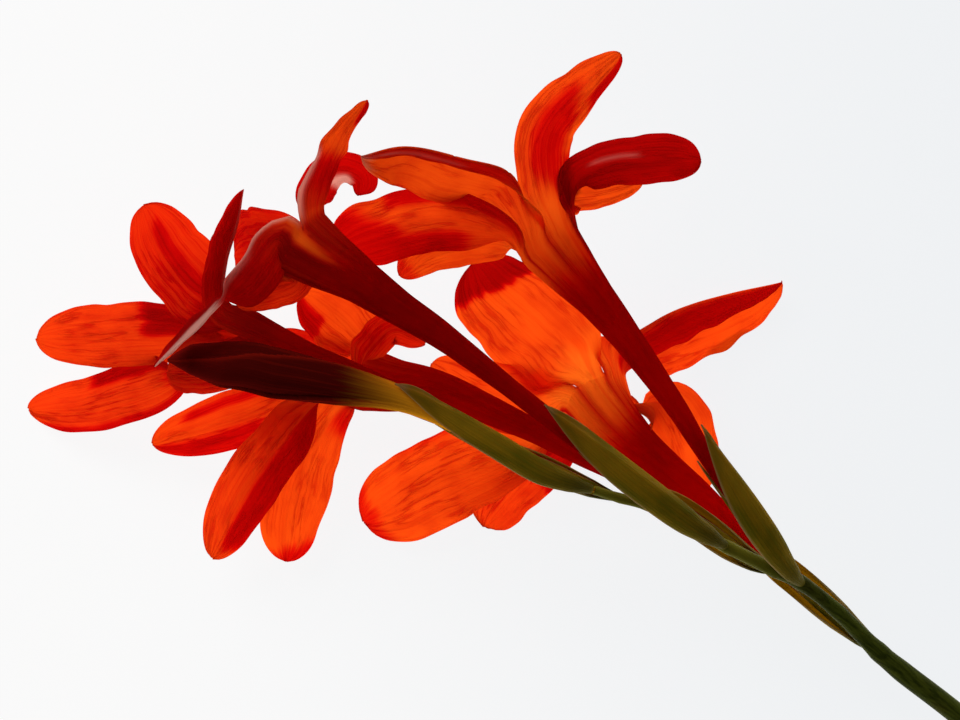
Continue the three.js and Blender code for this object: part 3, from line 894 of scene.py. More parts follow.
class GeometryTree:
    """A Geometry Nodes tree with named inputs, and the modifier that runs it."""

    def __init__(self, name: str) -> None:
        """Start a tree that takes a mesh and gives one.

        Args:
            name: the tree's name.
        """
        self.tree = bpy.data.node_groups.new(name, "GeometryNodeTree")
        self.board = Board(self.tree)
        self.tree.interface.new_socket("Mesh", in_out="INPUT", socket_type="NodeSocketGeometry")
        self.tree.interface.new_socket("Mesh", in_out="OUTPUT", socket_type="NodeSocketGeometry")
        self.inputs = self.tree.nodes.new("NodeGroupInput")
        self.output = self.tree.nodes.new("NodeGroupOutput")
        self.names: dict[str, str] = {}  # each input's identifier

    def take(self, name: str, kind: str) -> Wire:
        """Add a named input.

        Args:
            name: what it is called.
            kind: "Float", "Int" or "Material".

        Returns:
            The input, as a wire.
        """
        made = self.tree.interface.new_socket(name, in_out="INPUT", socket_type=f"NodeSocket{kind}")
        self.names[name] = made.identifier
        return Wire(self.board, self.inputs.outputs[name])

    def mesh(self) -> Wire:
        """Return the mesh that the modifier gets."""
        return Wire(self.board, self.inputs.outputs["Mesh"])

    def value(self, name: str, kind: str = "FLOAT") -> Wire:
        """Return a named value of the mesh, of a kind."""
        settings = {"data_type": kind}
        return self.board.node("GeometryNodeInputNamedAttribute", settings, {"Name": name})

    def join(self, *parts: Wire) -> Wire:
        """Put geometries together.

        Args:
            *parts: the geometries.

        Returns:
            All of them as one.
        """
        made = self.tree.nodes.new("GeometryNodeJoinGeometry")
        for part in parts:
            self.tree.links.new(part.socket, made.inputs[0])
        return Wire(self.board, made.outputs[0])

    def paint(self, geometry: Wire, material: Wire) -> Wire:
        """Return the geometry smooth and in a material."""
        smooth = self.board.node("GeometryNodeSetShadeSmooth", None, {"Geometry": geometry})
        return self.board.node("GeometryNodeSetMaterial", None, {0: smooth, "Material": material})

    def end(self, geometry: Wire) -> "GeometryTree":
        """Close the tree with Realize Instances.

        Args:
            geometry: what the tree gives.

        Returns:
            The tree.
        """
        real = self.board.node("GeometryNodeRealizeInstances", None, {"Geometry": geometry})
        self.tree.links.new(real.socket, self.output.inputs[0])
        return self

    def run(self, thing: Thing, **values: Any) -> Thing:
        """Run the tree on an object and keep the result as a plain mesh.

        Args:
            thing: the object that gets the modifier.
            **values: the named inputs, with underscores for spaces.

        Returns:
            The same object.
        """
        modifier = thing.modifiers.new(self.tree.name, "NODES")
        modifier.node_group = self.tree
        for name, value in values.items():
            modifier[self.names[name.replace("_", " ")]] = value
        return Workshop.settle(thing)


class RodTree(GeometryTree):
    """Round rods along a mesh's edges, as thick as its "girth" value says, with closed ends."""

    def __init__(self, name: str = "rods") -> None:
        """Write the tree.

        Args:
            name: the tree's name.
        """
        super().__init__(name)
        self.sides = self.take("Sides", "Int")
        self.write()

    def write(self) -> None:
        """Write the rest of the tree: rods along every edge."""
        self.end(self.paint(self.rods(True), self.take("Material", "Material")))

    def rods(self, chosen: Any) -> Wire:
        """Lay rods along edges.

        Args:
            chosen: which edges: True for every one, or a wire.

        Returns:
            The rods, with closed ends.
        """
        ring = {"Resolution": self.sides, "Radius": 1.0}
        profile = self.board.node("GeometryNodeCurvePrimitiveCircle", {"mode": "RADIUS"}, ring)
        edges = {"Mesh": self.mesh(), "Selection": chosen}
        line = self.board.node("GeometryNodeMeshToCurve", None, edges)
        swept = {"Curve": line, "Profile Curve": profile, "Scale": self.value("girth")}
        return self.board.node("GeometryNodeCurveToMesh", None, {**swept, "Fill Caps": True})


class RibTree(RodTree):
    """Raised ribs along the edges that the "rib" mark chooses."""

    def write(self) -> None:
        """Write the rest of the tree: rods along the marked edges."""
        ribs = self.rods(self.value("rib", "BOOLEAN"))
        self.end(self.paint(ribs, self.take("Material", "Material")))


class StamenTree(RodTree):
    """Threads along a mesh's edges, with an anther dusted with grains where the "anther" value is 1."""

    def write(self) -> None:
        """Write the rest of the tree: threads, then anthers."""
        threads = self.paint(self.rods(True), self.take("Filament", "Material"))
        over = {0: self.value("anther"), 1: 0.5}
        chosen = self.board.node("FunctionNodeCompare", {"operation": "GREATER_THAN"}, over)
        leans = {"Vector": self.value("leans", "FLOAT_VECTOR")}
        turn = self.board.node("FunctionNodeAlignRotationToVector", {"axis": "Z"}, leans)
        places = {"Points": self.mesh(), "Selection": chosen, "Instance": self.anther()}
        placed = self.board.node("GeometryNodeInstanceOnPoints", None, {**places, "Rotation": turn})
        self.end(self.join(threads, self.paint(placed, self.take("Anther", "Material"))))

    def anther(self) -> Wire:
        """Make one anther, centred, with its length up.

        Returns:
            Two long lobes side by side, with grains of pollen on them.
        """
        board = self.board
        length, width = self.take("Anther Length", "Float"), self.take("Anther Width", "Float")
        ball = board.node("GeometryNodeMeshUVSphere", None, {"Segments": 12, "Rings": 8, "Radius": 0.5})
        lobes = []
        for aside in (-0.36, 0.36):
            size = {"Geometry": ball, "Scale": board.pack(width * 0.62, width * 0.8, length)}
            lobe = board.node("GeometryNodeTransform", None, size)
            moved = {"Geometry": lobe, "Translation": board.pack(width * aside, 0.0, 0.0)}
            lobes.append(board.node("GeometryNodeTransform", None, moved))
        body = self.join(*lobes)
        at_random = {"distribute_method": "RANDOM"}
        spread = {"Density": self.take("Grains", "Float"), "Seed": self.take("Seed", "Int")}
        spots = board.node("GeometryNodeDistributePointsOnFaces", at_random, {"Mesh": body, **spread})
        grain = {"Radius": self.take("Grain Size", "Float"), "Subdivisions": 1}
        grains = {"Points": spots, "Instance": board.node("GeometryNodeMeshIcoSphere", None, grain)}
        dust = board.node("GeometryNodeInstanceOnPoints", None, grains)
        return self.join(body, board.node("GeometryNodeRealizeInstances", None, {"Geometry": dust}))


# The spike's parts


UP = np.array([0.0, 0.0, 1.0])

# As in the part's source
FUNNEL = ((0, 7.0), (7, 5.7), (15, 4.3), (26, 3.3), (40, 2.5), (55, 1.9))  # radii below the mouth
FOOT = ((0, 0.4), (3.5, 0.95), (7, 1.55))  # and above the foot
FOOT_LENGTH = 14.0  # where the foot has opened into the tube
ROOT_DEPTH = 5.0  # down the funnel's wall, where a tepal's root starts
WALL = 1.0
STAGGER = 0.12  # of the two whorls within the wall


@dataclass
class Spine:
    """A floret's centre line, and how thick it is along it."""

    axis: tuple[Point, ...]
    girth: float = 1.0
    radii: tuple[Span, ...] = FUNNEL

    def __post_init__(self) -> None:
        """Lay the curve."""
        self.line = Centreline(np.array(self.axis), UP)

    @property
    def length(self) -> float:
        """Return the length of the centre line."""
        return self.line.length

    def radius(self, distance: Any) -> Array:
        """Return the outer radius at distances from the foot.

        Args:
            distance: how far from the foot, in millimetres.

        Returns:
            The radii, in millimetres.
        """
        d = np.atleast_1d(np.asarray(distance, dtype=float))
        below, radii = np.array(self.radii).T
        wider = lerp(1.0, self.girth, smoothstep(d, 0, self.length))
        tube = np.interp(self.length - d, below, radii) * wider
        far, foot_radii = np.array(FOOT).T
        opened = np.clip((d - far[-1]) / (FOOT_LENGTH - far[-1]), 0, 1)
        return lerp(np.interp(d, far, foot_radii), tube, opened)

    def out(self, distance: float, around: float) -> tuple[Array, Array]:
        """Return the point of the centre line at a distance, and the outward direction at an angle.

        Args:
            distance: how far from the foot.
            around: the angle round the centre line, in degrees, 0 being up.

        Returns:
            The centre and the direction.
        """
        f = self.line.frames(distance)
        angle = math.radians(around)
        return f.point[0], f.normal[0] * math.cos(angle) + f.side[0] * math.sin(angle)


@dataclass(frozen=True)
class Flush:
    """A soft-edged patch painted on a tepal: crimson shade, light where its depth is below 0, a pale
    sheen where it is pale.
    """

    along: Span = (-1.0, 2.0)  # shares of the length
    across: Span = (-2.0, 2.0)  # places between the edges, -1 and 1
    lean: float = 0.0  # how far along it shifts with the place across
    depth: float = 1.0
    soft: float = 0.05  # of its ends, as a share
    pale: bool = False
    ragged: float = 0.009  # of its streaky edge

    def value(self, share: Array, across: Array) -> Array:
        """Work the patch out over a tepal.

        Args:
            share: the rows' shares of the length.
            across: the columns' places, -1 to 1.

        Returns:
            How deep it is at each, up to its depth.
        """
        streaks = np.sin(across * 17 + share * 3) + np.sin(across * 7 - share * 5) + np.sin(across * 27)
        s = share + self.lean * across + self.ragged * streaks
        across = across + self.ragged * (np.sin(share * 23) + np.sin(share * 41))
        inside = smoothstep(s, self.along[0] - self.soft, self.along[0] + self.soft)
        inside = inside * smoothstep(s, self.along[1] + self.soft, self.along[1] - self.soft)
        wide = self.soft * 3
        inside = inside * smoothstep(across, self.across[0] - wide, self.across[0] + wide)
        return inside * smoothstep(across, self.across[1] + wide, self.across[1] - wide) * self.depth


@dataclass
class Tepal:
    """One of a flower's six petals, set out as in the part's source."""

    around: float  # the angle round the mouth, in degrees, 0 being up
    half: Span  # half widths, on its higher and lower side
    fold: Span  # how far each half folds along the midrib, in degrees
    rib: tuple[Point, ...]  # the midrib's points beyond the mouth
    face: Optional[Point] = None  # where its inner face looks
    broad: float = 0.62  # share of the length at the widest place
    blunt: float = 2.4  # roundness of the tip: higher is squarer
    roll: float = 0.0  # of the blade round its midrib, in degrees
    turns: Span = (0.12, 0.52)  # shares between which it turns to its facing
    rise: float = 0.85  # how late the width grows
    # dusk and throat are painted shade: how crimson the blade and the mouth are made where they lie in
    # shadow
    dusk: float = 0.0  # how crimson the blade is, 0 to 1
    throat: float = 0.2  # and the mouth
    # patches of painted shadow, of painted light where the depth is below 0, and of painted sheen
    flushes: tuple[Flush, ...] = ()


@dataclass
class Perianth:
    """A flower's tube and its six tepals, grown together as one thin skin."""

    name: str
    spine: Spine
    tepals: tuple[Tepal, ...]
    thickness: float = 0.4
    edge: float = 0.45  # share of the thickness at the edges
    columns: int = 22
    rows: int = 54
    row_crowding: float = 1.25  # toward the tip
    ring_step: float = 1.1
    ring_crowding: float = 1.15  # toward the mouth
    lap: float = 0.5  # each side past its neighbour, at the mouth
    seam: Span = (9.0, 0.22)  # width in degrees and height of the ridge under each midrib
    rooted: float = 0.17  # share of the midrib over which the ring becomes the blade
    flattens: float = 0.45  # share by which the root's roundness opens out
    folds: Span = (0.12, 0.47)  # shares between which it folds
    rolls: float = 0.67  # share by which it has rolled
    flat_bend: float = 0.03  # curvature across the blade, in 1/mm
    tip_half: float = 0.25
    ripple: float = 0.5  # height of the broad ripples
    frill: float = 0.28  # of the frilled edge
    dent: float = 0.4
    groove: float = 0.3  # depth of the groove along the midrib
    pleat: float = 0.05
    uneven: float = 0.034  # of the outline
    lowest: float = 0.8  # point over the table, in thicknesses

    def sectors(self) -> list[tuple[int, float, float]]:
        """Return each tepal's number with the angles from its middle to its neighbours' edges.

        Returns:
            Rows of number, the angle to the higher side and the angle to the lower side, in degrees.
        """
        order = sorted(range(len(self.tepals)), key=lambda k: self.tepals[k].around % 360)
        angles = [self.tepals[k].around % 360 for k in order]
        count = len(order)
        found = []
        for i, k in enumerate(order):
            above = (angles[(i + 1) % count] - angles[i]) % 360
            below = (angles[i] - angles[i - 1]) % 360
            found.append((k, above / 2, below / 2))
        return found

    def tube_rows(self) -> Array:
        """Space the tube's rings.

        Returns:
            Their distances from the foot, closer together near the mouth.
        """
        length = self.spine.length
        t = np.linspace(0, 1, max(12, int(length / self.ring_step)))
        return length * (1 - (1 - t) ** self.ring_crowding)

    def tube_grid(self, angles: Array, distances: Array) -> Array:
        """Return points on the tube.

        Args:
            angles: in degrees, one a column.
            distances: from the foot, one a row.

        Returns:
            The points as rows by columns by 3.
        """
        f = self.spine.line.frames(distances)
        radius = self.spine.radius(distances) - self.thickness / 2
        turned = np.radians(angles)[None, :, None]
        out = f.normal[:, None] * np.cos(turned) + f.side[:, None] * np.sin(turned)
        middle = np.array([tepal.around for tepal in self.tepals])
        near = np.min(np.abs((angles[:, None] - middle[None] + 180) % 360 - 180), axis=1)
        width, height = self.seam
        ridge = bell(near, width)[None] * smoothstep(distances, 10, self.spine.length)[:, None] * height
        low = smoothstep(distances, self.spine.length, self.spine.length - 6)[:, None]
        return f.point[:, None] + out * (radius[:, None] + ridge * low)[..., None]

    def blade_grid(self, order: int, above: float, below: float) -> tuple[Array, Array, float]:
        """Return the points of a tepal from the mouth to its tip.

        Args:
            order: its number in the flower.
            above: the angle of the mouth that it grows from on its higher side, in degrees.
            below: the same on its lower side.

        Returns:
            The points as rows by columns by 3, each row's share of the way to the tip, and the length.
        """
        tepal, spine = self.tepals[order], self.spine
        inset = WALL / 2 + (STAGGER if order % 2 else -STAGGER)
        middle, out = spine.out(spine.length - ROOT_DEPTH, tepal.around)
        root_radius = float(spine.radius(spine.length - ROOT_DEPTH)[0]) - inset
        lip_middle, lip_out = spine.out(spine.length, tepal.around)
        lip_radius = float(spine.radius(spine.length)[0])
        ring_radius = lip_radius - self.thickness / 2
        points = [middle + out * root_radius, lip_middle + lip_out * (lip_radius - inset), *tepal.rib]
        line = Centreline(np.array(points), -out)
        first = float(np.linalg.norm(points[1] - points[0])) / line.length
        t = np.linspace(0, 1, self.rows)
        share = first + (1 - first) * (1 - (1 - t) ** self.row_crowding)
        f = line.frames(share * line.length)
        grown = smoothstep(share, first, first + self.rooted)
        inward = self.facing(tepal, f, share)
        side = np.cross(f.along, inward)
        opened = lerp(1 / root_radius, self.flat_bend, smoothstep(share, 0, self.flattens))
        bend = lerp(1 / ring_radius, opened, grown)
        across = np.linspace(-1, 1, self.columns + 1)
        half = np.stack([
            self.half_width(order, flank, ring_radius * math.radians(angle), first, share)
            for flank, angle in ((0, above), (1, below))
        ])
        flank = (across > 0).astype(int)
        reach = np.abs(across)[None] * half[flank].T
        folds = np.radians(np.array(tepal.fold))[flank][None]
        crease = folds * (smoothstep(share, *self.folds) * grown)[:, None]
        bend = bend[:, None]
        sideways = (np.sin(crease + bend * reach) - np.sin(crease)) / bend * np.sign(across)[None]
        lift = (np.cos(crease) - np.cos(crease + bend * reach)) / bend
        lift = lift + self.relief(order, share, across, half.max(axis=0)) * grown[:, None]
        blade = f.point[:, None] + side[:, None] * sideways[..., None]
        blade = blade + inward[:, None] * lift[..., None]
        angles = tepal.around + np.where(across < 0, above, below) * -across
        arc = self.tube_grid(angles, np.array([spine.length]))[0]
        start = arc[None] + (f.point - f.point[0])[:, None]
        grid = lerp(start, blade, grown[:, None, None])
        return grid, (share - first) / (1 - first), line.length * (1 - first)

    def half_width(self, order: int, flank: int, claw: float, first: float, share: Array) -> Array:
        """Return half the tepal's width on one flank.

        Args:
            order: the tepal's number in the flower.
            flank: 0 or 1.
            claw: half its width where it leaves the mouth, in millimetres.
            first: the share of the midrib's length at the mouth.
            share: the rows' shares of that length.

        Returns:
            The half widths, in millimetres, with an uneven edge.
        """
        tepal = self.tepals[order]
        widest = tepal.half[flank]
        rising = np.power(np.clip((share - first) / (tepal.broad - first), 0, 1), tepal.rise)
        grown = lerp(claw + self.lap, widest, smoothstep(rising, 0, 1))
        rest = np.clip((share - tepal.broad) / (1 - tepal.broad), 0, 1)
        tip = np.maximum(self.tip_half, widest * np.sqrt(1 - rest**tepal.blunt))
        draw = np.random.default_rng([SEED, sum(map(ord, self.name)), order, flank])
        uneven = np.zeros_like(share)
        for rate, size in ((9, 1.0), (17, 0.7), (31, 0.45), (53, 0.25)):
            turn = share * rate * draw.uniform(0.8, 1.2)
            uneven = uneven + size * np.sin(turn + draw.uniform(0, 6.3))
        shape = np.where(share < tepal.broad, grown, tip)
        return shape * (1 + self.uneven * uneven * smoothstep(share, 0.25, 0.5))

    def facing(self, tepal: Tepal, f: Frames, share: Array) -> Array:
        """Find the way the tepal's inner face looks.

        Args:
            tepal: the tepal.
            f: the frames along its midrib.
            share: the rows' shares of its length.

        Returns:
            The direction at each row.
        """
        inward = f.normal
        if tepal.face:
            face = np.array(tepal.face)[None]
            face = unit(face - f.along * np.sum(face * f.along, axis=1, keepdims=True))
            inward = unit(lerp(inward, face, smoothstep(share, *tepal.turns)[:, None]))
        roll = np.radians(tepal.roll) * smoothstep(share, 0, self.rolls)[:, None]
        return inward * np.cos(roll) + np.cross(f.along, inward) * np.sin(roll)

    def relief(self, order: int, share: Array, across: Array, half: Array) -> Array:
        """Return how far the blade lifts: ripples, a frilled edge, dents, a midrib groove and pleats.

        Args:
            order: the tepal's number in the flower.
            share: the rows' shares of its length.
            across: the columns' places, -1 to 1.
            half: half the width at each row.

        Returns:
            The lift as rows by columns, in millimetres.
        """
        draw = np.random.default_rng([SEED, sum(map(ord, self.name)), order])
        s, a = share[:, None], across[None]
        wide = self.ripple * a**2 * smoothstep(s, 0.25, 0.875) * np.sin(s * 11 + order * 1.7 + a)
        frill = np.zeros_like(s * a)
        for _ in range(4):
            rate, phase, lean = draw.uniform(16, 46), draw.uniform(0, 6.3), draw.uniform(-2, 2)
            frill = frill + np.sin(s * rate + phase + a * lean) * draw.uniform(0.4, 1.0)
        frill = self.frill * 0.5 * frill * np.abs(a) ** 3 * smoothstep(s, 0.25, 0.6)
        dents = np.zeros_like(frill)
        for _ in range(5):
            where, place = draw.uniform(0.3, 0.95), draw.uniform(-0.8, 0.8)
            size = draw.uniform(0.04, 0.12)
            height = draw.uniform(-self.dent, self.dent)
            dents = dents + height * bell(s - where, size) * bell(a - place, 0.28)
        aside = a * half[:, None]
        groove = -self.groove * bell(aside / 1.1, 1.0) * smoothstep(s, 0.1, 0.4)
        groove = groove * smoothstep(s, 1.0, 0.8)
        pleats = self.pleat * np.sin(aside * 2.6 + draw.uniform(0, 6)) * smoothstep(s, 0.05, 0.4)
        return wide + frill + dents + groove + pleats

    def dusk(self, tepal: Tepal, share: Array, across: Array) -> Array:
        """Return the painted shade on a tepal's strip of the flower, from foot to tip: how deep its
        crimson is.

        The strips' depths run into each other at the mouth.

        Args:
            tepal: the tepal.
            share: the rows' shares, below 0 in the tube.
            across: the columns' places, -1 to 1.

        Returns:
            The depth as rows by columns, 0 to 1.
        """
        # painted shade of the folds: each strip darkens toward its borders with the next
        mouth = tepal.throat * (1 - across**4) + 0.75 * across**4
        depth = lerp(mouth, tepal.dusk, smoothstep(share, -0.02, 0.22))
        for flush in tepal.flushes:
            value = flush.value(share, across)
            if flush.depth < 0:
                depth = depth * (1 + value)
            elif not flush.pale:
                depth = np.maximum(depth, value * smoothstep(share, -0.05, 0.1))
        return np.clip(depth, 0, 1)

    def pale(self, tepal: Tepal, share: Array, across: Array) -> Array:
        """Return the pale sheen painted on a tepal.

        Args:
            tepal: the tepal.
            share: the rows' shares, below 0 in the tube.
            across: the columns' places, -1 to 1.

        Returns:
            The paleness as rows by columns, 0 to 1.
        """
        found = np.zeros(np.broadcast(share, across).shape)
        for flush in tepal.flushes:
            if flush.pale:
                found = np.maximum(found, flush.value(share, across))
        return found

    def build(self, material: Material) -> Thing:
        """Build the flower, without its stamens.

        Args:
            material: what it is made of.

        Returns:
            The object.
        """
        skin = Skin(f"flower_{self.name}")
        rings = self.tube_rows()
        across = np.linspace(-1, 1, self.columns + 1)
        for order, above, below in self.sectors():
            tepal = self.tepals[order]
            angles = tepal.around + np.where(across < 0, above, below) * -across
            tube = self.tube_grid(angles, rings)
            blade, share, length = self.blade_grid(order, above, below)
            pole = np.repeat(self.spine.line.frames(0.0).point[None], self.columns + 1, axis=1)
            grid = np.concatenate([pole, tube[:-1], blade])
            height = np.concatenate([[0.0], rings[:-1], self.spine.length + share * length]) / 100.0
            shares = np.concatenate([[-1.0], rings[:-1] / self.spine.length - 1.0, share])
            thin = np.concatenate([np.zeros(len(tube)), share**6])[:, None]
            thin = np.maximum(thin, np.abs(across)[None] ** 5 * smoothstep(shares, 0.1, 0.3)[:, None])
            # painted shade and painted sheen, kept on the mesh for the petal tissue
            dusk = self.dusk(tepal, shares[:, None], across[None])
            pale = self.pale(tepal, shares[:, None], across[None])
            u = order + 0.01 + 0.98 * (across + 1) / 2
            skin.add_grid(grid, u, height, share=shares[:, None], thin=thin, dusk=dusk, pale=pale)
        for points in skin.points:
            points[:, 2] = np.maximum(points[:, 2], self.thickness * self.lowest)
        made = skin.make(material, weld=0.001)
        return Workshop.thicken(made, self.thickness, self.edge)


@dataclass
class Sheath:
    """One of the two bracts round a floret's foot: a pointed sheath, open along one side."""

    length: float
    toward: float  # the angle of its back round the floret, in degrees, 0 being up
    spread: float  # how far it reaches round each side, in degrees
    inner: bool
    thickness: float = 0.3
    edge: float = 0.35  # share of the thickness at the edges
    start: float = 3.6  # along the floret's centre line, which starts inside the stem
    root: float = 1.2
    taper: float = 3.2  # how late it narrows toward its tip
    tip_spread: float = 5.0
    past_tip: float = 0.6
    closes: Span = (1.016, 0.985)  # shares over which the tip closes
    rows: int = 60
    columns: int = 28
    rib_every: int = 4  # columns
    rib_radius: float = 0.07
    snug: float = 0.28  # room under the inner one, and twice under the outer one
    foot_snug: Span = (0.12, 0.32)  # and at the foot, under the inner and the outer one
    opens: Span = (3.0, 20.0)  # distances between which that room grows
    belly: float = 0.0  # how far it bulges
    keel: float = 0.3  # height of the fold along its back
    flare: float = 0.35  # how far its edges stand off

    def layer(self) -> float:
        """Return how far the sheath's middle lies over the tube."""
        return self.snug if self.inner else 2 * self.snug + self.thickness

    def grid(self, spine: Spine) -> tuple[Array, Array, Array]:
        """Set out the sheath's middle surface.

        Args:
            spine: the floret that it wraps.

        Returns:
            The points as rows by columns by 3, the rows' shares and the columns' places.
        """
        end = self.start + self.length
        distance = np.linspace(self.root, end + self.past_tip, self.rows)
        share = (distance - self.start) / self.length
        f = spine.line.frames(distance)
        spread = self.spread * (1 - np.power(np.clip(share, 0, 1), self.taper)) + self.tip_spread
        spread = spread * smoothstep(share, *self.closes)
        across = np.linspace(-1, 1, self.columns + 1)
        angle = np.radians(self.toward + across[None] * spread[:, None])
        near = self.foot_snug[0 if self.inner else 1]
        radius = spine.radius(distance) + lerp(near, self.layer(), smoothstep(distance, *self.opens))
        radius = radius + self.belly * np.sin(np.pi * np.clip(share, 0, 1)) ** 1.5
        keel = bell(across, 0.16)[None] * self.keel * smoothstep(share, 0.1, 0.5)[:, None]
        flare = np.abs(across)[None] ** 3 * self.flare * smoothstep(share, 0.3, 0.95)[:, None]
        reach = radius[:, None] + keel + flare
        out = f.normal[:, None] * np.cos(angle)[..., None] + f.side[:, None] * np.sin(angle)[..., None]
        return f.point[:, None] + out * reach[..., None], share, across

    def build(self, name: str, spine: Spine, material: Material, ribs: RibTree) -> Thing:
        """Return the finished sheath with its ribs.

        Args:
            name: the piece's name.
            spine: the floret that it wraps.
            material: what it is made of.
            ribs: the tree that raises its ribs.

        Returns:
            The object.
        """
        grid, share, across = self.grid(spine)
        skin = Skin(name)
        edge = np.maximum(np.abs(across)[None] ** 7, (np.clip(share, 0, 1) ** 14)[:, None])
        u = (across + 1) / 2
        v = np.clip(share, 0, 1)
        skin.add_grid(grid, u, v, thin=edge, share=v[:, None], place=u)
        sheath = Workshop.thicken(skin.make(material), self.thickness, self.edge)
        lines = Skin(name + "_ribs")
        inner = slice(4, -3)
        girth = self.rib_radius * MM * self.fade(share[inner])
        lines.add_grid(grid[inner], u, v[inner], girth=girth, share=v[inner, None], place=u)
        raised = lines.make(material)
        self.mark(raised.data, len(across))
        ribs.run(raised, Sides=6, Material=material)
        return Workshop.join(sheath, raised)

    @staticmethod
    def fade(share: Array) -> Array:
        """Return how thick a rib is along the sheath, as a column."""
        return (0.3 + 0.7 * smoothstep(share, 1.0, 0.6) * smoothstep(share, -0.1, 0.2))[:, None]

    def mark(self, mesh: bpy.types.Mesh, columns: int) -> None:
        """Mark the edges that a rib follows.

        Args:
            mesh: the sheath's grid.
            columns: its columns.
        """
        marks = mesh.attributes.new("rib", "BOOLEAN", "EDGE")
        ends = np.zeros(len(mesh.edges) * 2, dtype=np.int32)
        mesh.edges.foreach_get("vertices", ends)
        a, b = ends.reshape(-1, 2).T
        lengthwise = (a % columns == b % columns) & ((a % columns) % self.rib_every == 2)
        inside = (a % columns > 1) & (a % columns < columns - 2)
        marks.data.foreach_set("value", lengthwise & inside)


@dataclass
class Bud:
    """The closed bud: furled petals whose edges wind round it."""

    spine: Spine
    petals: int = 3
    twist: float = 1.1  # how far the edges wind, in petals
    step: float = 0.09  # of a petal's edge over the next, as a share of the radius
    crest: float = 0.03  # of its middle
    shown: Span = (62.0, 40.0)  # from the tip, where the edges rise
    sides: int = 108
    ring_step: float = 0.8
    ring_crowding: float = 1.3  # toward the tip
    past_tip: float = 0.2

    def build(self, material: Material) -> Thing:
        """Build the bud.

        Args:
            material: what it is made of.

        Returns:
            The object.
        """
        length = self.spine.length
        t = np.linspace(0, 1, int(length / self.ring_step))
        distance = length * (1 - (1 - t) ** self.ring_crowding)
        f = self.spine.line.frames(distance)
        angles = np.linspace(0, 2 * np.pi, self.sides, endpoint=False)
        turn = self.petals * angles[None] / (2 * np.pi) + self.twist * (distance / length)[:, None] ** 2
        phase = turn % 1.0
        shown = smoothstep(distance, *(length - place for place in self.shown))[:, None]
        lap = (phase - 0.5) * self.step * 2 * shown
        crest = bell(phase - 0.5, 0.22) * self.crest * shown
        radius = self.spine.radius(distance)[:, None] * (1 + lap + crest)
        turned = angles[None, :, None]
        out = f.normal[:, None] * np.cos(turned) + f.side[:, None] * np.sin(turned)
        grid = f.point[:, None] + out * radius[..., None]
        tip = self.spine.line.frames(length + self.past_tip).point
        foot, tip = (np.repeat(p[None], self.sides, axis=1) for p in (f.point[:1], tip))
        grid = np.concatenate([foot, grid, tip])
        share = np.concatenate([[0.0], distance / length, [1.0]])
        none = np.zeros((1, self.sides))
        edge = np.vstack([none, bell(phase - 0.96, 0.05) * shown, none])
        skin = Skin("bud_closed")
        u = np.linspace(0, 1, self.sides + 1)
        skin.add_grid(grid, u, share, closed=True, share=share[:, None], dusk=edge)
        return skin.make(material, weld=0.001)


@dataclass
class Stamens:
    """Three stamens and the style of an open flower."""

    reach: tuple[float, ...] = (1.6, 0.8, 1.2)  # of each anther's tip in front of the mouth
    spread: Span = (0.65, 1.9)  # from the centre line, at the foot and at the tip
    depth: float = 20.4  # of their feet below the mouth
    thread_radius: float = 0.3
    steps: int = 16
    style_reach: float = -1.0  # of the place where the style parts
    branches: int = 3
    branch_turn: float = 0.5  # round the style, in radians
    branch_size: Span = (1.6, 1.2)  # how far one goes on, and out
    branch_radii: Span = (0.25, 0.32)
    branch_steps: int = 6
    anther_length: float = 6.4
    anther_width: float = 1.5
    grain: float = 0.08
    grains_per_mm2: float = 14.0

    def build(self, name: str, spine: Spine, dressing: Dressing, tree: StamenTree) -> Thing:
        """Return the finished stamens.

        Args:
            name: the piece's name.
            spine: the flower that they stand in.
            dressing: the materials.
            tree: the tree that makes threads and anthers.

        Returns:
            The object.
        """
        points, edges, girths, marked, leans = [], [], [], [], []

        def thread(line: Array, radius: Array, anther: bool, lean: Array) -> None:
            """Add a thread.

            Args:
                line: its points, one a row.
                radius: how thick it is at each.
                anther: whether it ends in one.
                lean: the direction that the anther points in.
            """
            first = len(points)
            points.extend(line)
            edges.extend((first + i, first + i + 1) for i in range(len(line) - 1))
            girths.extend(radius * MM)
            marked.extend([0.0] * (len(line) - 1) + [float(anther)])
            leans.extend([lean] * len(line))

        share = np.linspace(0, 1, self.steps)
        for number, reach in enumerate(self.reach):
            f = spine.line.frames(spine.length - lerp(self.depth, -reach, share))
            angle = 2 * math.pi * number / len(self.reach)
            off = lerp(*self.spread, share)[:, None]
            line = f.point + (f.normal * math.cos(angle) + f.side * math.sin(angle)) * off
            line = line[share <= 1 - 0.5 * self.anther_length / (self.depth + reach)]
            thread(line, np.full(len(line), self.thread_radius), True, f.along[-1])
        f = spine.line.frames(spine.length - lerp(self.depth, -self.style_reach, share))
        thread(f.point, np.full(self.steps, self.thread_radius), False, f.along[-1])
        on, aside = self.branch_size
        for branch in range(self.branches):
            angle = 2 * math.pi * branch / self.branches + self.branch_turn
            out = f.normal[-1] * math.cos(angle) + f.side[-1] * math.sin(angle)
            share = np.linspace(0, 1, self.branch_steps)[:, None]
            line = f.point[-1] + f.along[-1] * share * on + out * share**2 * aside
            thread(line, np.linspace(*self.branch_radii, self.branch_steps), False, f.along[-1])
        made = Workshop.wire(name, points, edges, girth=np.array(girths), anther=np.array(marked))
        attribute = made.data.attributes.new("leans", "FLOAT_VECTOR", "POINT")
        attribute.data.foreach_set("vector", np.array(leans).ravel().astype(np.float32))
        return tree.run(
            made,
            Sides=8,
            Filament=dressing[Finishes.THREAD],
            Anther=dressing[Finishes.ANTHER],
            Anther_Length=self.anther_length * MM,
            Anther_Width=self.anther_width * MM,
            Grains=self.grains_per_mm2 / MM**2,
            Grain_Size=self.grain * MM,
            Seed=SEED,
        )


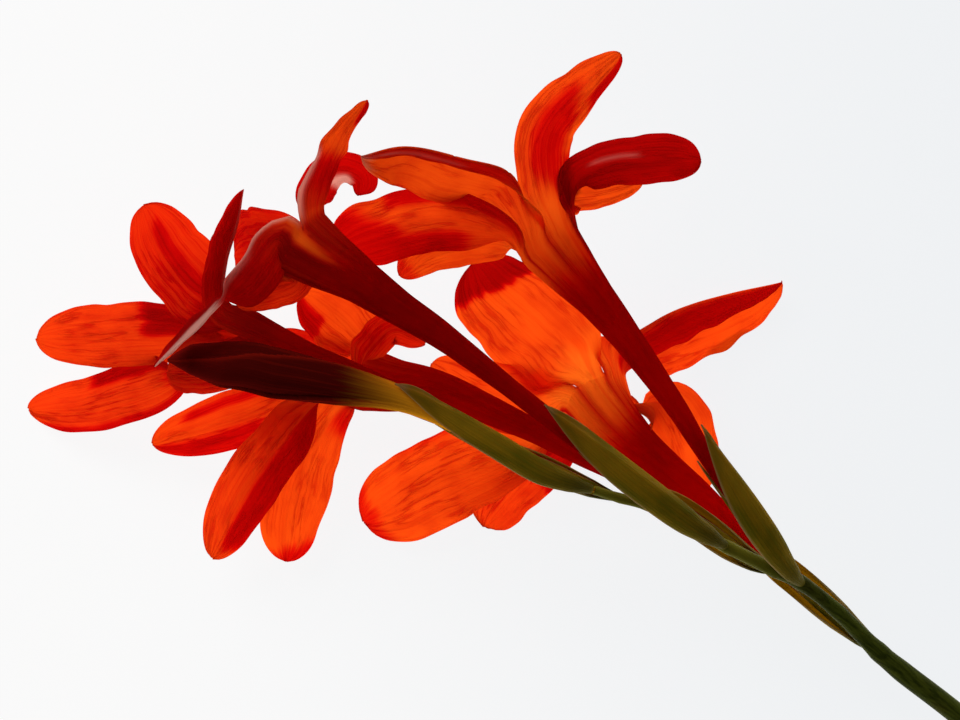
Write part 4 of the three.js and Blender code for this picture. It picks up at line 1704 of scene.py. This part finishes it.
@dataclass
class Floret:
    """A flower or the bud, with its two bracts."""

    name: str
    spine: Spine
    outer: Sheath
    inner: Sheath
    tepals: tuple[Tepal, ...] = ()
    stamens: Stamens = field(default_factory=Stamens)

    def build(self, dressing: Dressing, ribs: RibTree, threads: StamenTree) -> None:
        """Args:
            dressing: the materials.
            ribs: the tree for the bracts' ribs.
            threads: the tree for the stamens.
        """
        if self.tepals:
            flower = Perianth(self.name, self.spine, self.tepals).build(dressing[Finishes.PETAL])
            Workshop.finish(flower, "petal", f"perianth_{self.name}")
            inside = self.stamens.build(f"threads_{self.name}", self.spine, dressing, threads)
            Workshop.finish(inside, "anther", f"stamens_{self.name}")
        else:
            bud = Bud(self.spine).build(dressing[Finishes.BUD])
            Workshop.finish(bud, "bud", f"bud_{self.name}")
        for kind, sheath in (("inner", self.inner), ("outer", self.outer)):
            name = f"{kind}_sheath_{self.name}"
            made = sheath.build(name, self.spine, dressing[Finishes.SHEATH], ribs)
            Workshop.finish(made, "bract", f"{kind}_bract_{self.name}")


@dataclass
class Stem:
    """The stem and rachis, one rod that zigzags a little from bract to bract, cut on the slant."""

    places: tuple[tuple[float, float, float, float], ...]  # points of its middle, each with the radius
    cut: Point = (174.0, -136.0, 3.0)  # where the slant meets the middle
    cut_turn: float = -0.3  # the slant's facing round the vertical, in radians
    steps: int = 150
    sides: int = 32
    bare: int = 4  # how many of its places lie below the lowest floret
    swell: float = 0.12  # share of the radius by which it is thicker at a floret
    swell_width: float = 1.6
    rind: float = 0.08  # shares of the cut's radius
    pith: float = 0.7
    core: float = 0.3
    cut_relief: Point = (-0.05, -0.12, 0.15)  # steps of the rind, flesh and core

    def build(self, dressing: Dressing, rods: RodTree) -> Thing:
        """Return the finished stem.

        Args:
            dressing: the materials.
            rods: the tree that makes a rod along a line.

        Returns:
            The object.
        """
        table = np.array(self.places)
        line = Centreline(table[:, :3], UP)
        knots = np.array([line.distance[i * line.STEPS] for i in range(len(table))])
        distance = np.linspace(self.cut_distance(line), line.length, self.steps)
        f = line.frames(distance)
        radius = np.interp(distance, knots, table[:, 3])
        for knot in knots[self.bare : -1]:
            radius = radius * (1 + self.swell * bell(distance - knot, self.swell_width))
        points = f.point.copy()
        points[:, 2] = np.maximum(points[:, 2], radius)
        edges = [(i, i + 1) for i in range(self.steps - 1)]
        made = Workshop.wire("stem_rod", points, edges, girth=radius * MM)
        rods.run(made, Sides=self.sides, Material=dressing[Finishes.STEM])
        made.data.materials.append(dressing[Finishes.PITH])
        self.slant(made.data, (points[0] - REST_CENTRE) * MM, -f.along[0])
        return made

    def slope(self) -> Array:
        """Return the direction that the cut faces."""
        return np.array([math.cos(self.cut_turn), math.sin(self.cut_turn), 0.0])

    def cut_distance(self, line: Centreline) -> float:
        """Return how far along the line the stem is cut."""
        past = (line.dense - np.array(self.cut)) @ self.slope()
        return float(np.interp(0.0, -past, line.distance))

    def slant(self, mesh: bpy.types.Mesh, place: Array, outward: Array) -> None:
        """Slide the end's rim onto the slanted cut, and give the cut a rind and its pith.

        Args:
            mesh: the rod.
            place: the middle of its end, in metres.
            outward: the direction that the rod runs out in there.
        """
        work = bmesh.new()
        work.from_mesh(mesh)
        slope = Vector(self.slope())
        middle, out = Vector(place), Vector(outward)
        caps = (f for f in work.faces if len(f.verts) > 4)
        end = min(caps, key=lambda f: (f.calc_center_median() - middle).length)
        for v in end.verts:
            v.co += out * (-(v.co - middle).dot(slope) / out.dot(slope))
        reach = max((v.co - middle).length for v in end.verts)
        for number, width in enumerate((self.rind, 1 - self.rind - self.pith, self.core)):
            depth = self.cut_relief[number] * MM
            bmesh.ops.inset_region(work, faces=[end], thickness=reach * width, depth=depth)
            end.material_index = min(number, 1)
        work.to_mesh(mesh)
        work.free()


@dataclass
class Studio:
    """The table, the light and the camera."""

    camera_height: float = 2000.0  # over the plane that is in the photograph's scale
    plane: float = 35.0
    table_size: float = 3000.0
    table_gap: float = 0.2  # below the spike
    room: float = 0.1  # strength of the light from all sides
    room_colour: Colour = (1.0, 0.97, 0.95)
    softbox_place: Point = (-750.0, 850.0, 900.0)
    softbox_aim: Point = (0.0, 0.0, 30.0)
    softbox_size: float = 800.0
    softbox_power: float = 9.0  # in watts
    panel_place: Point = (0.0, 0.0, -0.1)
    panel_aim: Point = (0.0, 0.0, 1000.0)
    panel_size: Span = (460.0, 360.0)
    panel_power: float = 0.5
    panel_colour: Colour = (1.0, 0.94, 0.86)
    sensor: float = 36.0
    far: float = 100.0  # metres that the camera sees

    def build(self, dressing: Dressing) -> None:
        """Set the table, the lights and the camera up.

        Args:
            dressing: the materials.
        """
        self.table(dressing)
        self.lights()
        self.camera()

    def table(self, dressing: Dressing) -> None:
        """Lay the table top at the height that the spike rests on.

        Args:
            dressing: the materials.
        """
        half = self.table_size * MM / 2
        corners = [(-half, -half, 0), (half, -half, 0), (half, half, 0), (-half, half, 0)]
        mesh = bpy.data.meshes.new("table_top")
        mesh.from_pydata(corners, [], [(0, 1, 2, 3)])
        mesh.materials.append(dressing[Finishes.TABLE])
        top = Workshop.place("table_top", mesh)
        top.location.z = -self.table_gap * MM

    def lights(self) -> None:
        """Light the table from beneath, and hang a soft lamp to the upper left in a dim room."""
        world = bpy.data.worlds.new("soft room")
        world.use_nodes = True
        light = world.node_tree.nodes["Background"].inputs
        light["Color"].default_value = (*self.room_colour, 1.0)
        light["Strength"].default_value = self.room
        bpy.context.scene.world = world
        square = (self.softbox_size, self.softbox_size)
        self.lamp("softbox", self.softbox_place, self.softbox_aim, square, self.softbox_power)
        panel = self.lamp(
            "light panel", self.panel_place, self.panel_aim, self.panel_size, self.panel_power
        )
        panel.data.color = self.panel_colour
        panel.visible_camera = False

    @staticmethod
    def lamp(name: str, place: Point, aim: Point, size: Span, power: float) -> Thing:
        """Hang a rectangular lamp.

        Args:
            name: what it is called.
            place: its centre, in millimetres of the part's own frame.
            aim: the point that it looks at.
            size: its two sides.
            power: in watts.

        Returns:
            The lamp.
        """
        data = bpy.data.lights.new(name, "AREA")
        data.shape = "RECTANGLE"
        data.size, data.size_y = (side * MM for side in size)
        data.energy = power
        made = Workshop.place(name, data)
        centre, target = (Vector(np.array(p) * MM) for p in (place, aim))
        made.location = centre
        made.rotation_euler = (target - centre).to_track_quat("-Z", "Y").to_euler()
        return made

    def camera(self) -> None:
        """Look straight down from far above, in the photograph's scale and with its framing."""
        data = bpy.data.cameras.new("camera")
        data.sensor_width = self.sensor
        data.lens = self.sensor * self.camera_height / (PHOTO_WIDTH_PX * MM_PER_PX)
        data.clip_end = self.far
        made = Workshop.place("camera", data)
        made.location = (UP * (self.camera_height + self.plane) - REST_CENTRE) * MM
        bpy.context.scene.camera = made
        bpy.context.scene.view_settings.view_transform = "Standard"


@dataclass
class Spike:
    """The whole cut gladiolus."""

    stem: Stem
    florets: tuple[Floret, ...]

    def build(self, dressing: Dressing) -> None:
        """Build every piece of the spike.

        Args:
            dressing: the materials.
        """
        stem = self.stem.build(dressing, RodTree())
        Workshop.finish(stem, "stem", "stem")
        ribs, threads = RibTree(), StamenTree()
        for floret in self.florets:
            floret.build(dressing, ribs, threads)


STEM = Stem((
    (176, -137.5, 2, 2.4), (142, -109, 5.2, 2.4), (105.6, -78.3, 13, 2.4), (93.5, -69, 15.9, 2.4),
    (88.4, -64.7, 17.3, 2), (79.2, -55.7, 20, 1.6), (71, -49.3, 23, 1.6), (64.9, -46.4, 25, 1.5),
    (54.8, -41.4, 28, 1.4), (46.2, -37, 30.5, 1.2), (37.4, -32.3, 33, 1.1), (30.8, -30.4, 35, 1.05),
    (25.1, -28.6, 36.8, 1),
))

DOWN = (0, 0, -1)  # away from the camera

PETALS_1 = (
    Tepal(
        around=15, half=(10.4, 12.5), fold=(4, 4), face=(0, 0.2, -1), blunt=3.6, broad=0.55, rise=0.22,
        rib=((14.3, 5.5, 20.5), (3.7, 15, 20), (-1.5, 21.6, 17)), dusk=0.03, throat=0.1,
        flushes=(Flush(along=(0.775, 2), lean=-0.1, depth=0.85, soft=0.03),),
    ),
    Tepal(
        around=70, half=(6.5, 14), fold=(60, 60), face=(0, -1, 0), blunt=1.8, broad=0.5, rise=0.6,
        rib=((30.4, 1.8, 17), (37.4, 7.5, 11.4), (48.6, 12.3, 5.3), (67.5, 17.4, 3.6)), dusk=0.15,
        throat=0.3, flushes=(Flush(across=(-2, -0.1), depth=0.65),),
    ),
    Tepal(
        around=165, half=(9.5, 9), fold=(4, 4), face=DOWN, broad=0.5, rise=0.4,
        rib=((37.8, -9.8, 16.5), (44, -17.6, 12), (47.6, -31, 9.5)), dusk=0.1, throat=0.4,
    ),
    Tepal(
        around=-35, half=(8, 8), fold=(8, 8), face=DOWN, broad=0.5, rise=0.22,
        rib=((11, -9.6, 19), (0, -7, 17), (-10.6, -0.6, 14)), dusk=0.15, throat=0.1,
    ),
    Tepal(
        around=-80, half=(10.5, 10.5), fold=(6, 6), face=DOWN, blunt=3.4, broad=0.66,
        rib=((8.8, -19.8, 15.5), (-7.5, -26.2, 11), (-26, -36.2, 4)), dusk=0.1, throat=0.1,
        flushes=(
            Flush(along=(0.35, 0.75), across=(-2, -0.85), depth=0.4, soft=0.1),
            Flush(along=(0.93, 2), depth=0.45, soft=0.04),
        ),
    ),
    Tepal(
        around=-130, half=(8, 5.5), fold=(6, 6), face=DOWN, blunt=4, broad=0.7,
        rib=((15.5, -22.4, 13), (8.4, -28.6, 7), (1, -37.4, 0.2)), dusk=0.25, throat=0.6,
        flushes=(Flush(along=(-1, 0.5), depth=0.7),),
    ),
)
FLOWER_1 = Floret(
    name="1",
    spine=Spine((
        (89.5, -65.4, 17), (85.4, -62, 13.4), (79.6, -57, 13.2), (70.4, -49, 13.5), (60.9, -41.6, 14.6),
        (48.8, -30.1, 16.6), (36.3, -20.2, 19.7), (30.4, -15, 22.4), (27.5, -11.9, 22.4),
        (26, -9.7, 19.6),
    ), girth=1.12),
    outer=Sheath(length=36, toward=180, spread=120, inner=False, belly=0.5),
    inner=Sheath(length=32, toward=0, spread=60, inner=True),
    tepals=PETALS_1,
)

PETALS_2 = (
    Tepal(
        around=25, half=(6.8, 6.5), fold=(12, 20), face=(-0.3, 0.3, -1), blunt=2, broad=0.5, rise=0.4,
        rib=((14.1, 42, 50), (15.2, 50.5, 52), (22.6, 59, 51), (30.7, 67, 48)), dusk=0.03, throat=0.1,
        flushes=(
            Flush(along=(0.22, 0.72), across=(-0.7, 0.5), lean=-0.12, depth=0.56, soft=0.09),
            Flush(along=(0.72, 2), across=(-2, -0.4), depth=0.62),
            Flush(along=(-1, 0.35), across=(-2, -0.6), depth=0.7, soft=0.08),
        ),
    ),
    Tepal(
        around=-35, half=(2.8, 15), fold=(-150, 0), face=(0, 0.5, -0.85), blunt=2, broad=0.5, rise=0.8,
        rib=((7, 40.5, 51), (-4.4, 44.2, 56), (-16.5, 46.4, 61), (-25.6, 44.2, 64)), dusk=0.05,
        throat=0.1,
        flushes=(
            Flush(across=(-2, -0.05), along=(0.25, 2), depth=0.35),
            Flush(along=(0.55, 0.95), across=(-0.75, -0.5), depth=0.45, pale=True),
            Flush(along=(0.97, 2), depth=0.45, soft=0.03, pale=True),
        ),
    ),
    Tepal(
        around=95, half=(5.8, 5.8), fold=(8, 8), face=(0, 0.3, -1), blunt=3.5, broad=0.66, rise=1.8,
        rib=((21, 38.8, 46), (26.8, 42.2, 47), (36.5, 43.6, 48), (48.3, 43.5, 49)), dusk=0.3,
        throat=0.95,
        flushes=(
            Flush(along=(0.12, 2), depth=0.82, soft=0.06),
            Flush(along=(0.4, 0.66), across=(0.22, 0.34), depth=0.42, soft=0.03, pale=True),
        ),
    ),
    Tepal(
        around=-85, half=(8.7, 8), fold=(6, 6), face=(0, 0.4, -0.9), blunt=3.2, broad=0.74, rise=0.6,
        rib=((5.5, 27.2, 47), (-8.8, 29.8, 44), (-20.9, 27.6, 40), (-31.9, 23.9, 36)), dusk=0.1,
        throat=0.05,
        flushes=(
            Flush(across=(-2, -0.6), along=(0.1, 0.7), depth=0.62),
            Flush(along=(0.66, 2), lean=0.2, depth=0.6, soft=0.1),
            Flush(along=(0.35, 2), across=(0.15, 2), depth=0.6, soft=0.08),
        ),
    ),
    Tepal(
        around=160, half=(4.8, 4.8), fold=(5, 5), face=(0, 0.3, -1), broad=0.5, rise=0.3,
        rib=((18.2, 35.6, 42), (25.5, 37.2, 40), (35.6, 39.4, 39)), dusk=0.03, throat=0.3,
    ),
    Tepal(
        around=-140, half=(7, 4.2), fold=(6, 6), face=DOWN,
        rib=((5.5, 25.4, 41), (-4.4, 24.8, 37), (-11, 22.8, 34), (-17.6, 18.4, 31)), dusk=0.03,
        throat=0.1, flushes=(Flush(along=(0.9, 2), depth=0.4),),
    ),
)
FLOWER_2 = Floret(
    name="2",
    spine=Spine((
        (71.6, -49.8, 22.7), (68.6, -47, 28), (61.6, -37.8, 34.5), (55, -28.6, 39.5), (48.4, -19.1, 43),
        (43.1, -10.6, 45), (32.1, 4.8, 47), (26, 12.5, 47.5), (20.5, 18.9, 46.5), (16, 24.4, 44.5),
    )),
    outer=Sheath(length=45, toward=50, spread=112, inner=False, belly=0.9),
    inner=Sheath(length=38, toward=-110, spread=75, inner=True),
    tepals=PETALS_2,
)

PETALS_3 = (
    Tepal(
        around=60, half=(8, 7), fold=(6, 6), face=DOWN,
        rib=((-26, 3.3, 25), (-31.9, 9.2, 23), (-39.6, 15, 19)), dusk=0.12, throat=0.55,
        flushes=(Flush(along=(0.62, 2), across=(0.2, 2), depth=0.7),),
    ),
    Tepal(
        around=20, half=(4.5, 4.5), fold=(20, 20),
        rib=((-22.9, 3.3, 32), (-18.7, 6.6, 33), (-12.1, 3.7, 29)), dusk=0.4, throat=0.6,
    ),
    Tepal(
        around=-60, half=(7.5, 7.5), fold=(5, 5), face=DOWN, blunt=3.2, broad=0.66,
        rib=((-30.8, -9.9, 22), (-37, -18.7, 17), (-41.4, -30.8, 11), (-43.3, -45, 7)), dusk=0.1,
        throat=0.5,
        flushes=(
            Flush(along=(0.93, 2), lean=0.05, depth=0.55),
            Flush(along=(-1, 0.3), across=(0.1, 2), depth=0.6, soft=0.08),
        ),
    ),
    Tepal(
        around=-100, half=(6.5, 7.5), fold=(10, 10), face=DOWN, blunt=2.6,
        rib=((-35.2, -8.8, 25), (-45.1, -18.7, 22), (-53.5, -30.8, 18), (-59.6, -44, 13)), dusk=0.2,
        throat=0.5, flushes=(Flush(along=(0.05, 0.95), across=(0.15, 2), depth=0.66),),
    ),
    Tepal(
        around=-150, half=(6.5, 7), fold=(12, 12), face=DOWN, blunt=2.2,
        rib=((-35.2, -5.5, 22), (-48.4, -10.6, 18), (-60.5, -14.7, 13), (-73, -18.7, 9)), dusk=0.2,
        throat=0.5,
        flushes=(
            Flush(across=(-0.8, -0.4), along=(0.15, 0.85), depth=0.58),
            Flush(across=(0.25, 2), along=(0.5, 1.02), depth=0.55, soft=0.07),
        ),
    ),
    Tepal(
        around=150, half=(6, 6), fold=(5, 5), rib=((-31, 0, 18), (-40, 2, 12), (-50, 3, 6)), dusk=0.4,
        throat=0.7,
    ),
)
FLOWER_3 = Floret(
    name="3",
    spine=Spine((
        (66, -46.9, 24.6), (62, -45.4, 21.2), (57.2, -42.6, 22.8), (49.5, -37, 25.8), (40.7, -31, 28.2),
        (33, -26.4, 28.6), (24.2, -22.2, 28.3), (8.8, -14.1, 28.4), (-9.9, -6.4, 28.1),
        (-18.7, -5.5, 27), (-24.6, -4.4, 25),
    )),
    outer=Sheath(length=34, toward=180, spread=115, inner=False, belly=0.5),
    inner=Sheath(length=30, toward=0, spread=52, inner=True),
    tepals=PETALS_3,
)

PETALS_4 = (
    Tepal(
        around=60, half=(6, 4), fold=(10, 10), face=(-0.72, 0.42, -0.55), blunt=1.7, broad=0.6,
        rise=1.2, rib=((-34.3, 38.5, 55), (-30.4, 48, 56), (-24.6, 56.6, 55)), dusk=0.06, throat=0.7,
        flushes=(
            Flush(along=(-1, 0.5), depth=0.65, soft=0.12),
            Flush(along=(0.8, 2), across=(-2, -0.1), depth=0.7),
            Flush(along=(0.06, 0.5), across=(0.8, 2), depth=0.75, pale=True),
        ),
    ),
    Tepal(
        around=120, half=(2.2, 4.7), fold=(4, 4), face=DOWN, blunt=2, broad=0.8, rise=2.2,
        rib=((-36, 34.6, 47), (-33.8, 39.4, 47), (-29.8, 41, 47), (-26.4, 39.2, 46.5), (-26.4, 36, 46)),
        dusk=0.62, throat=0.7,
        flushes=(
            Flush(along=(0.42, 0.74), across=(-2, -0.1), lean=0.1, depth=0.85, soft=0.07, pale=True),
        ),
    ),
    Tepal(
        around=-30, half=(3.2, 7), fold=(5, 5), face=(-0.65, 0.7, 0.2), blunt=1.5, broad=0.38,
        turns=(0.46, 0.6), rib=((-43.6, 26.2, 56), (-51, 18, 58), (-60.5, 8.4, 60), (-70.6, -1.5, 60)),
        dusk=0.74, throat=0.95,
        flushes=(
            Flush(along=(-0.06, 0.1), across=(-0.95, -0.5), depth=-0.85),
            Flush(along=(0.05, 0.4), across=(-2, -0.86), depth=0.8, soft=0.04, pale=True),
            Flush(along=(0.28, 0.52), across=(-2, -0.6), depth=0.35, soft=0.08, pale=True),
            Flush(along=(0.55, 2), across=(-2, 0.4), depth=0.8, soft=0.03, pale=True),
        ),
    ),
    Tepal(
        around=-80, half=(5, 4.5), fold=(5, 5), face=(0, 0.3, -1),
        rib=((-40.7, 17.2, 47), (-47, 14.8, 45), (-53.5, 12.6, 44)), dusk=0.3, throat=0.9,
    ),
    Tepal(
        around=-130, half=(10, 10), fold=(6, 6), face=(-0.8, 0, 0.6), blunt=3.2,
        rib=((-42.9, 24.2, 42), (-48.8, 23.8, 32), (-54.3, 22.9, 24)), dusk=0.42, throat=0.6,
    ),
    Tepal(
        around=170, half=(6, 6), fold=(5, 5), rib=((-41, 25, 40), (-44, 25, 28), (-46, 23, 18)),
        dusk=0.35, throat=0.9,
    ),
)
FLOWER_4 = Floret(
    name="4",
    spine=Spine((
        (54.8, -41.4, 28), (50.6, -38.9, 32.6), (45.4, -35.6, 36), (37.4, -29.7, 39.5),
        (26.4, -21.4, 43), (12.1, -10.4, 46.5), (-8.8, 5.7, 50), (-17.6, 11.4, 51.2), (-28, 18.5, 52),
        (-34.5, 22.5, 52), (-38.5, 25.3, 51),
    ), girth=1.15),
    outer=Sheath(length=52, toward=30, spread=104, inner=False, belly=0.6),
    inner=Sheath(length=40, toward=-140, spread=70, inner=True),
    tepals=PETALS_4,
)

PETALS_5 = (
    Tepal(
        around=60, half=(5, 5), fold=(58, 58), face=(-1, 0, 0), blunt=1.7, broad=0.5,
        rib=((-55.9, 13.2, 38), (-55.7, 21.6, 40), (-53.5, 29.5, 41), (-51.8, 37.4, 41)), dusk=0.6,
        throat=0.9,
        flushes=(Flush(along=(0.3, 0.97), across=(-0.02, 0.1), depth=0.5, soft=0.025, pale=True),),
    ),
    Tepal(
        around=110, half=(10.4, 7.5), fold=(8, 8), face=DOWN, blunt=3.2, broad=0.48, rise=0.35,
        rib=((-61, 13.9, 35), (-69, 23.1, 35), (-74.3, 34, 32)), dusk=0.36, throat=0.8,
        flushes=(
            Flush(across=(-0.35, 0.1), along=(0.3, 0.9), lean=0.15, depth=0.68, soft=0.08),
            Flush(along=(-1, 0.4), across=(-0.1, 2), depth=0.6, soft=0.12),
        ),
    ),
    Tepal(
        around=-50, half=(9.2, 4.6), fold=(5, 5), face=DOWN, blunt=5, broad=0.5, rise=0.5,
        rib=((-55, -1.5, 37), (-62, -3, 35), (-69, -3, 32)), dusk=0.35, throat=0.9,
    ),
    Tepal(
        around=170, half=(7.5, 7.5), fold=(6, 6), face=DOWN, blunt=2.6,
        rib=((-60.5, 5.5, 28.5), (-73, 5.9, 27), (-86, 5.3, 21), (-98.5, 5, 15)), dusk=0.22, throat=0.9,
        flushes=(
            Flush(along=(-1, 0.5), across=(-2, 0.1), depth=0.8, soft=0.04),
            Flush(along=(-1, 0.3), depth=0.7, soft=0.04),
        ),
    ),
    Tepal(
        around=-130, half=(6.5, 6.9), fold=(8, 8), face=DOWN, blunt=2.4, broad=0.55,
        rib=((-60.5, -1.8, 29), (-73, -5.7, 22.5), (-87, -9.6, 12), (-101, -11, 0.2)), dusk=0.24,
        throat=0.9,
        flushes=(
            Flush(along=(-1, 0.68), across=(-2, -0.45), depth=0.72),
            Flush(along=(-1, 0.32), depth=0.65, soft=0.06),
            Flush(along=(0.2, 0.95), across=(0.72, 2), depth=0.6, soft=0.06),
        ),
    ),
    Tepal(
        around=-170, half=(6, 6), fold=(5, 5), rib=((-57, 4, 25), (-62, 6, 16), (-66, 6, 8)), dusk=0.35,
        throat=0.95,
    ),
)
FLOWER_5 = Floret(
    name="5",
    spine=Spine((
        (30.6, -30.4, 35), (26, -28.8, 32.5), (20, -26.3, 33.6), (13.2, -23.1, 34.8), (6.6, -19.8, 36),
        (-1.5, -15.4, 36.6), (-16.5, -8.8, 37.2), (-27.7, -4, 37.2), (-37.4, -0.8, 37),
        (-46.2, 2.2, 36), (-51.3, 4, 34.5),
    )),
    outer=Sheath(length=30, toward=205, spread=92, inner=False),
    inner=Sheath(length=26, toward=0, spread=50, inner=True),
    tepals=PETALS_5,
)

BUD_6 = Floret(
    name="6",
    spine=Spine((
        (25.1, -28.6, 36.8), (20.8, -27.4, 40.5), (13.2, -24.6, 43.5), (2.2, -18.2, 45.3),
        (-8.8, -12.3, 46.4), (-17.2, -8.6, 47.6), (-31, -5.3, 49), (-39.6, -3.6, 50),
        (-45.1, -2.6, 50.6), (-50.6, -1.3, 51.2), (-56.3, -0.9, 51.8), (-63.1, 0, 52), (-68.1, 0, 52),
    ), radii=(
        (0, 0.3), (2, 1.6), (5, 3.3), (12, 4.8), (18, 5.2), (24, 5.4), (30, 5), (38, 4.4), (47, 3.2),
        (60, 2),
    )),
    outer=Sheath(length=47.5, toward=42, spread=115, inner=False),
    inner=Sheath(length=41, toward=-160, spread=70, inner=True),
)

GLADIOLUS = Spike(STEM, (FLOWER_1, FLOWER_2, FLOWER_3, FLOWER_4, FLOWER_5, BUD_6))


def main() -> None:
    """Build the spike, then its table, light and camera, and note the sizes."""
    logging.basicConfig(level=logging.INFO, format="%(name)s %(message)s")
    dressing = Dressing()
    Studio().build(dressing)
    GLADIOLUS.build(dressing)


if __name__ == "__main__":
    main()
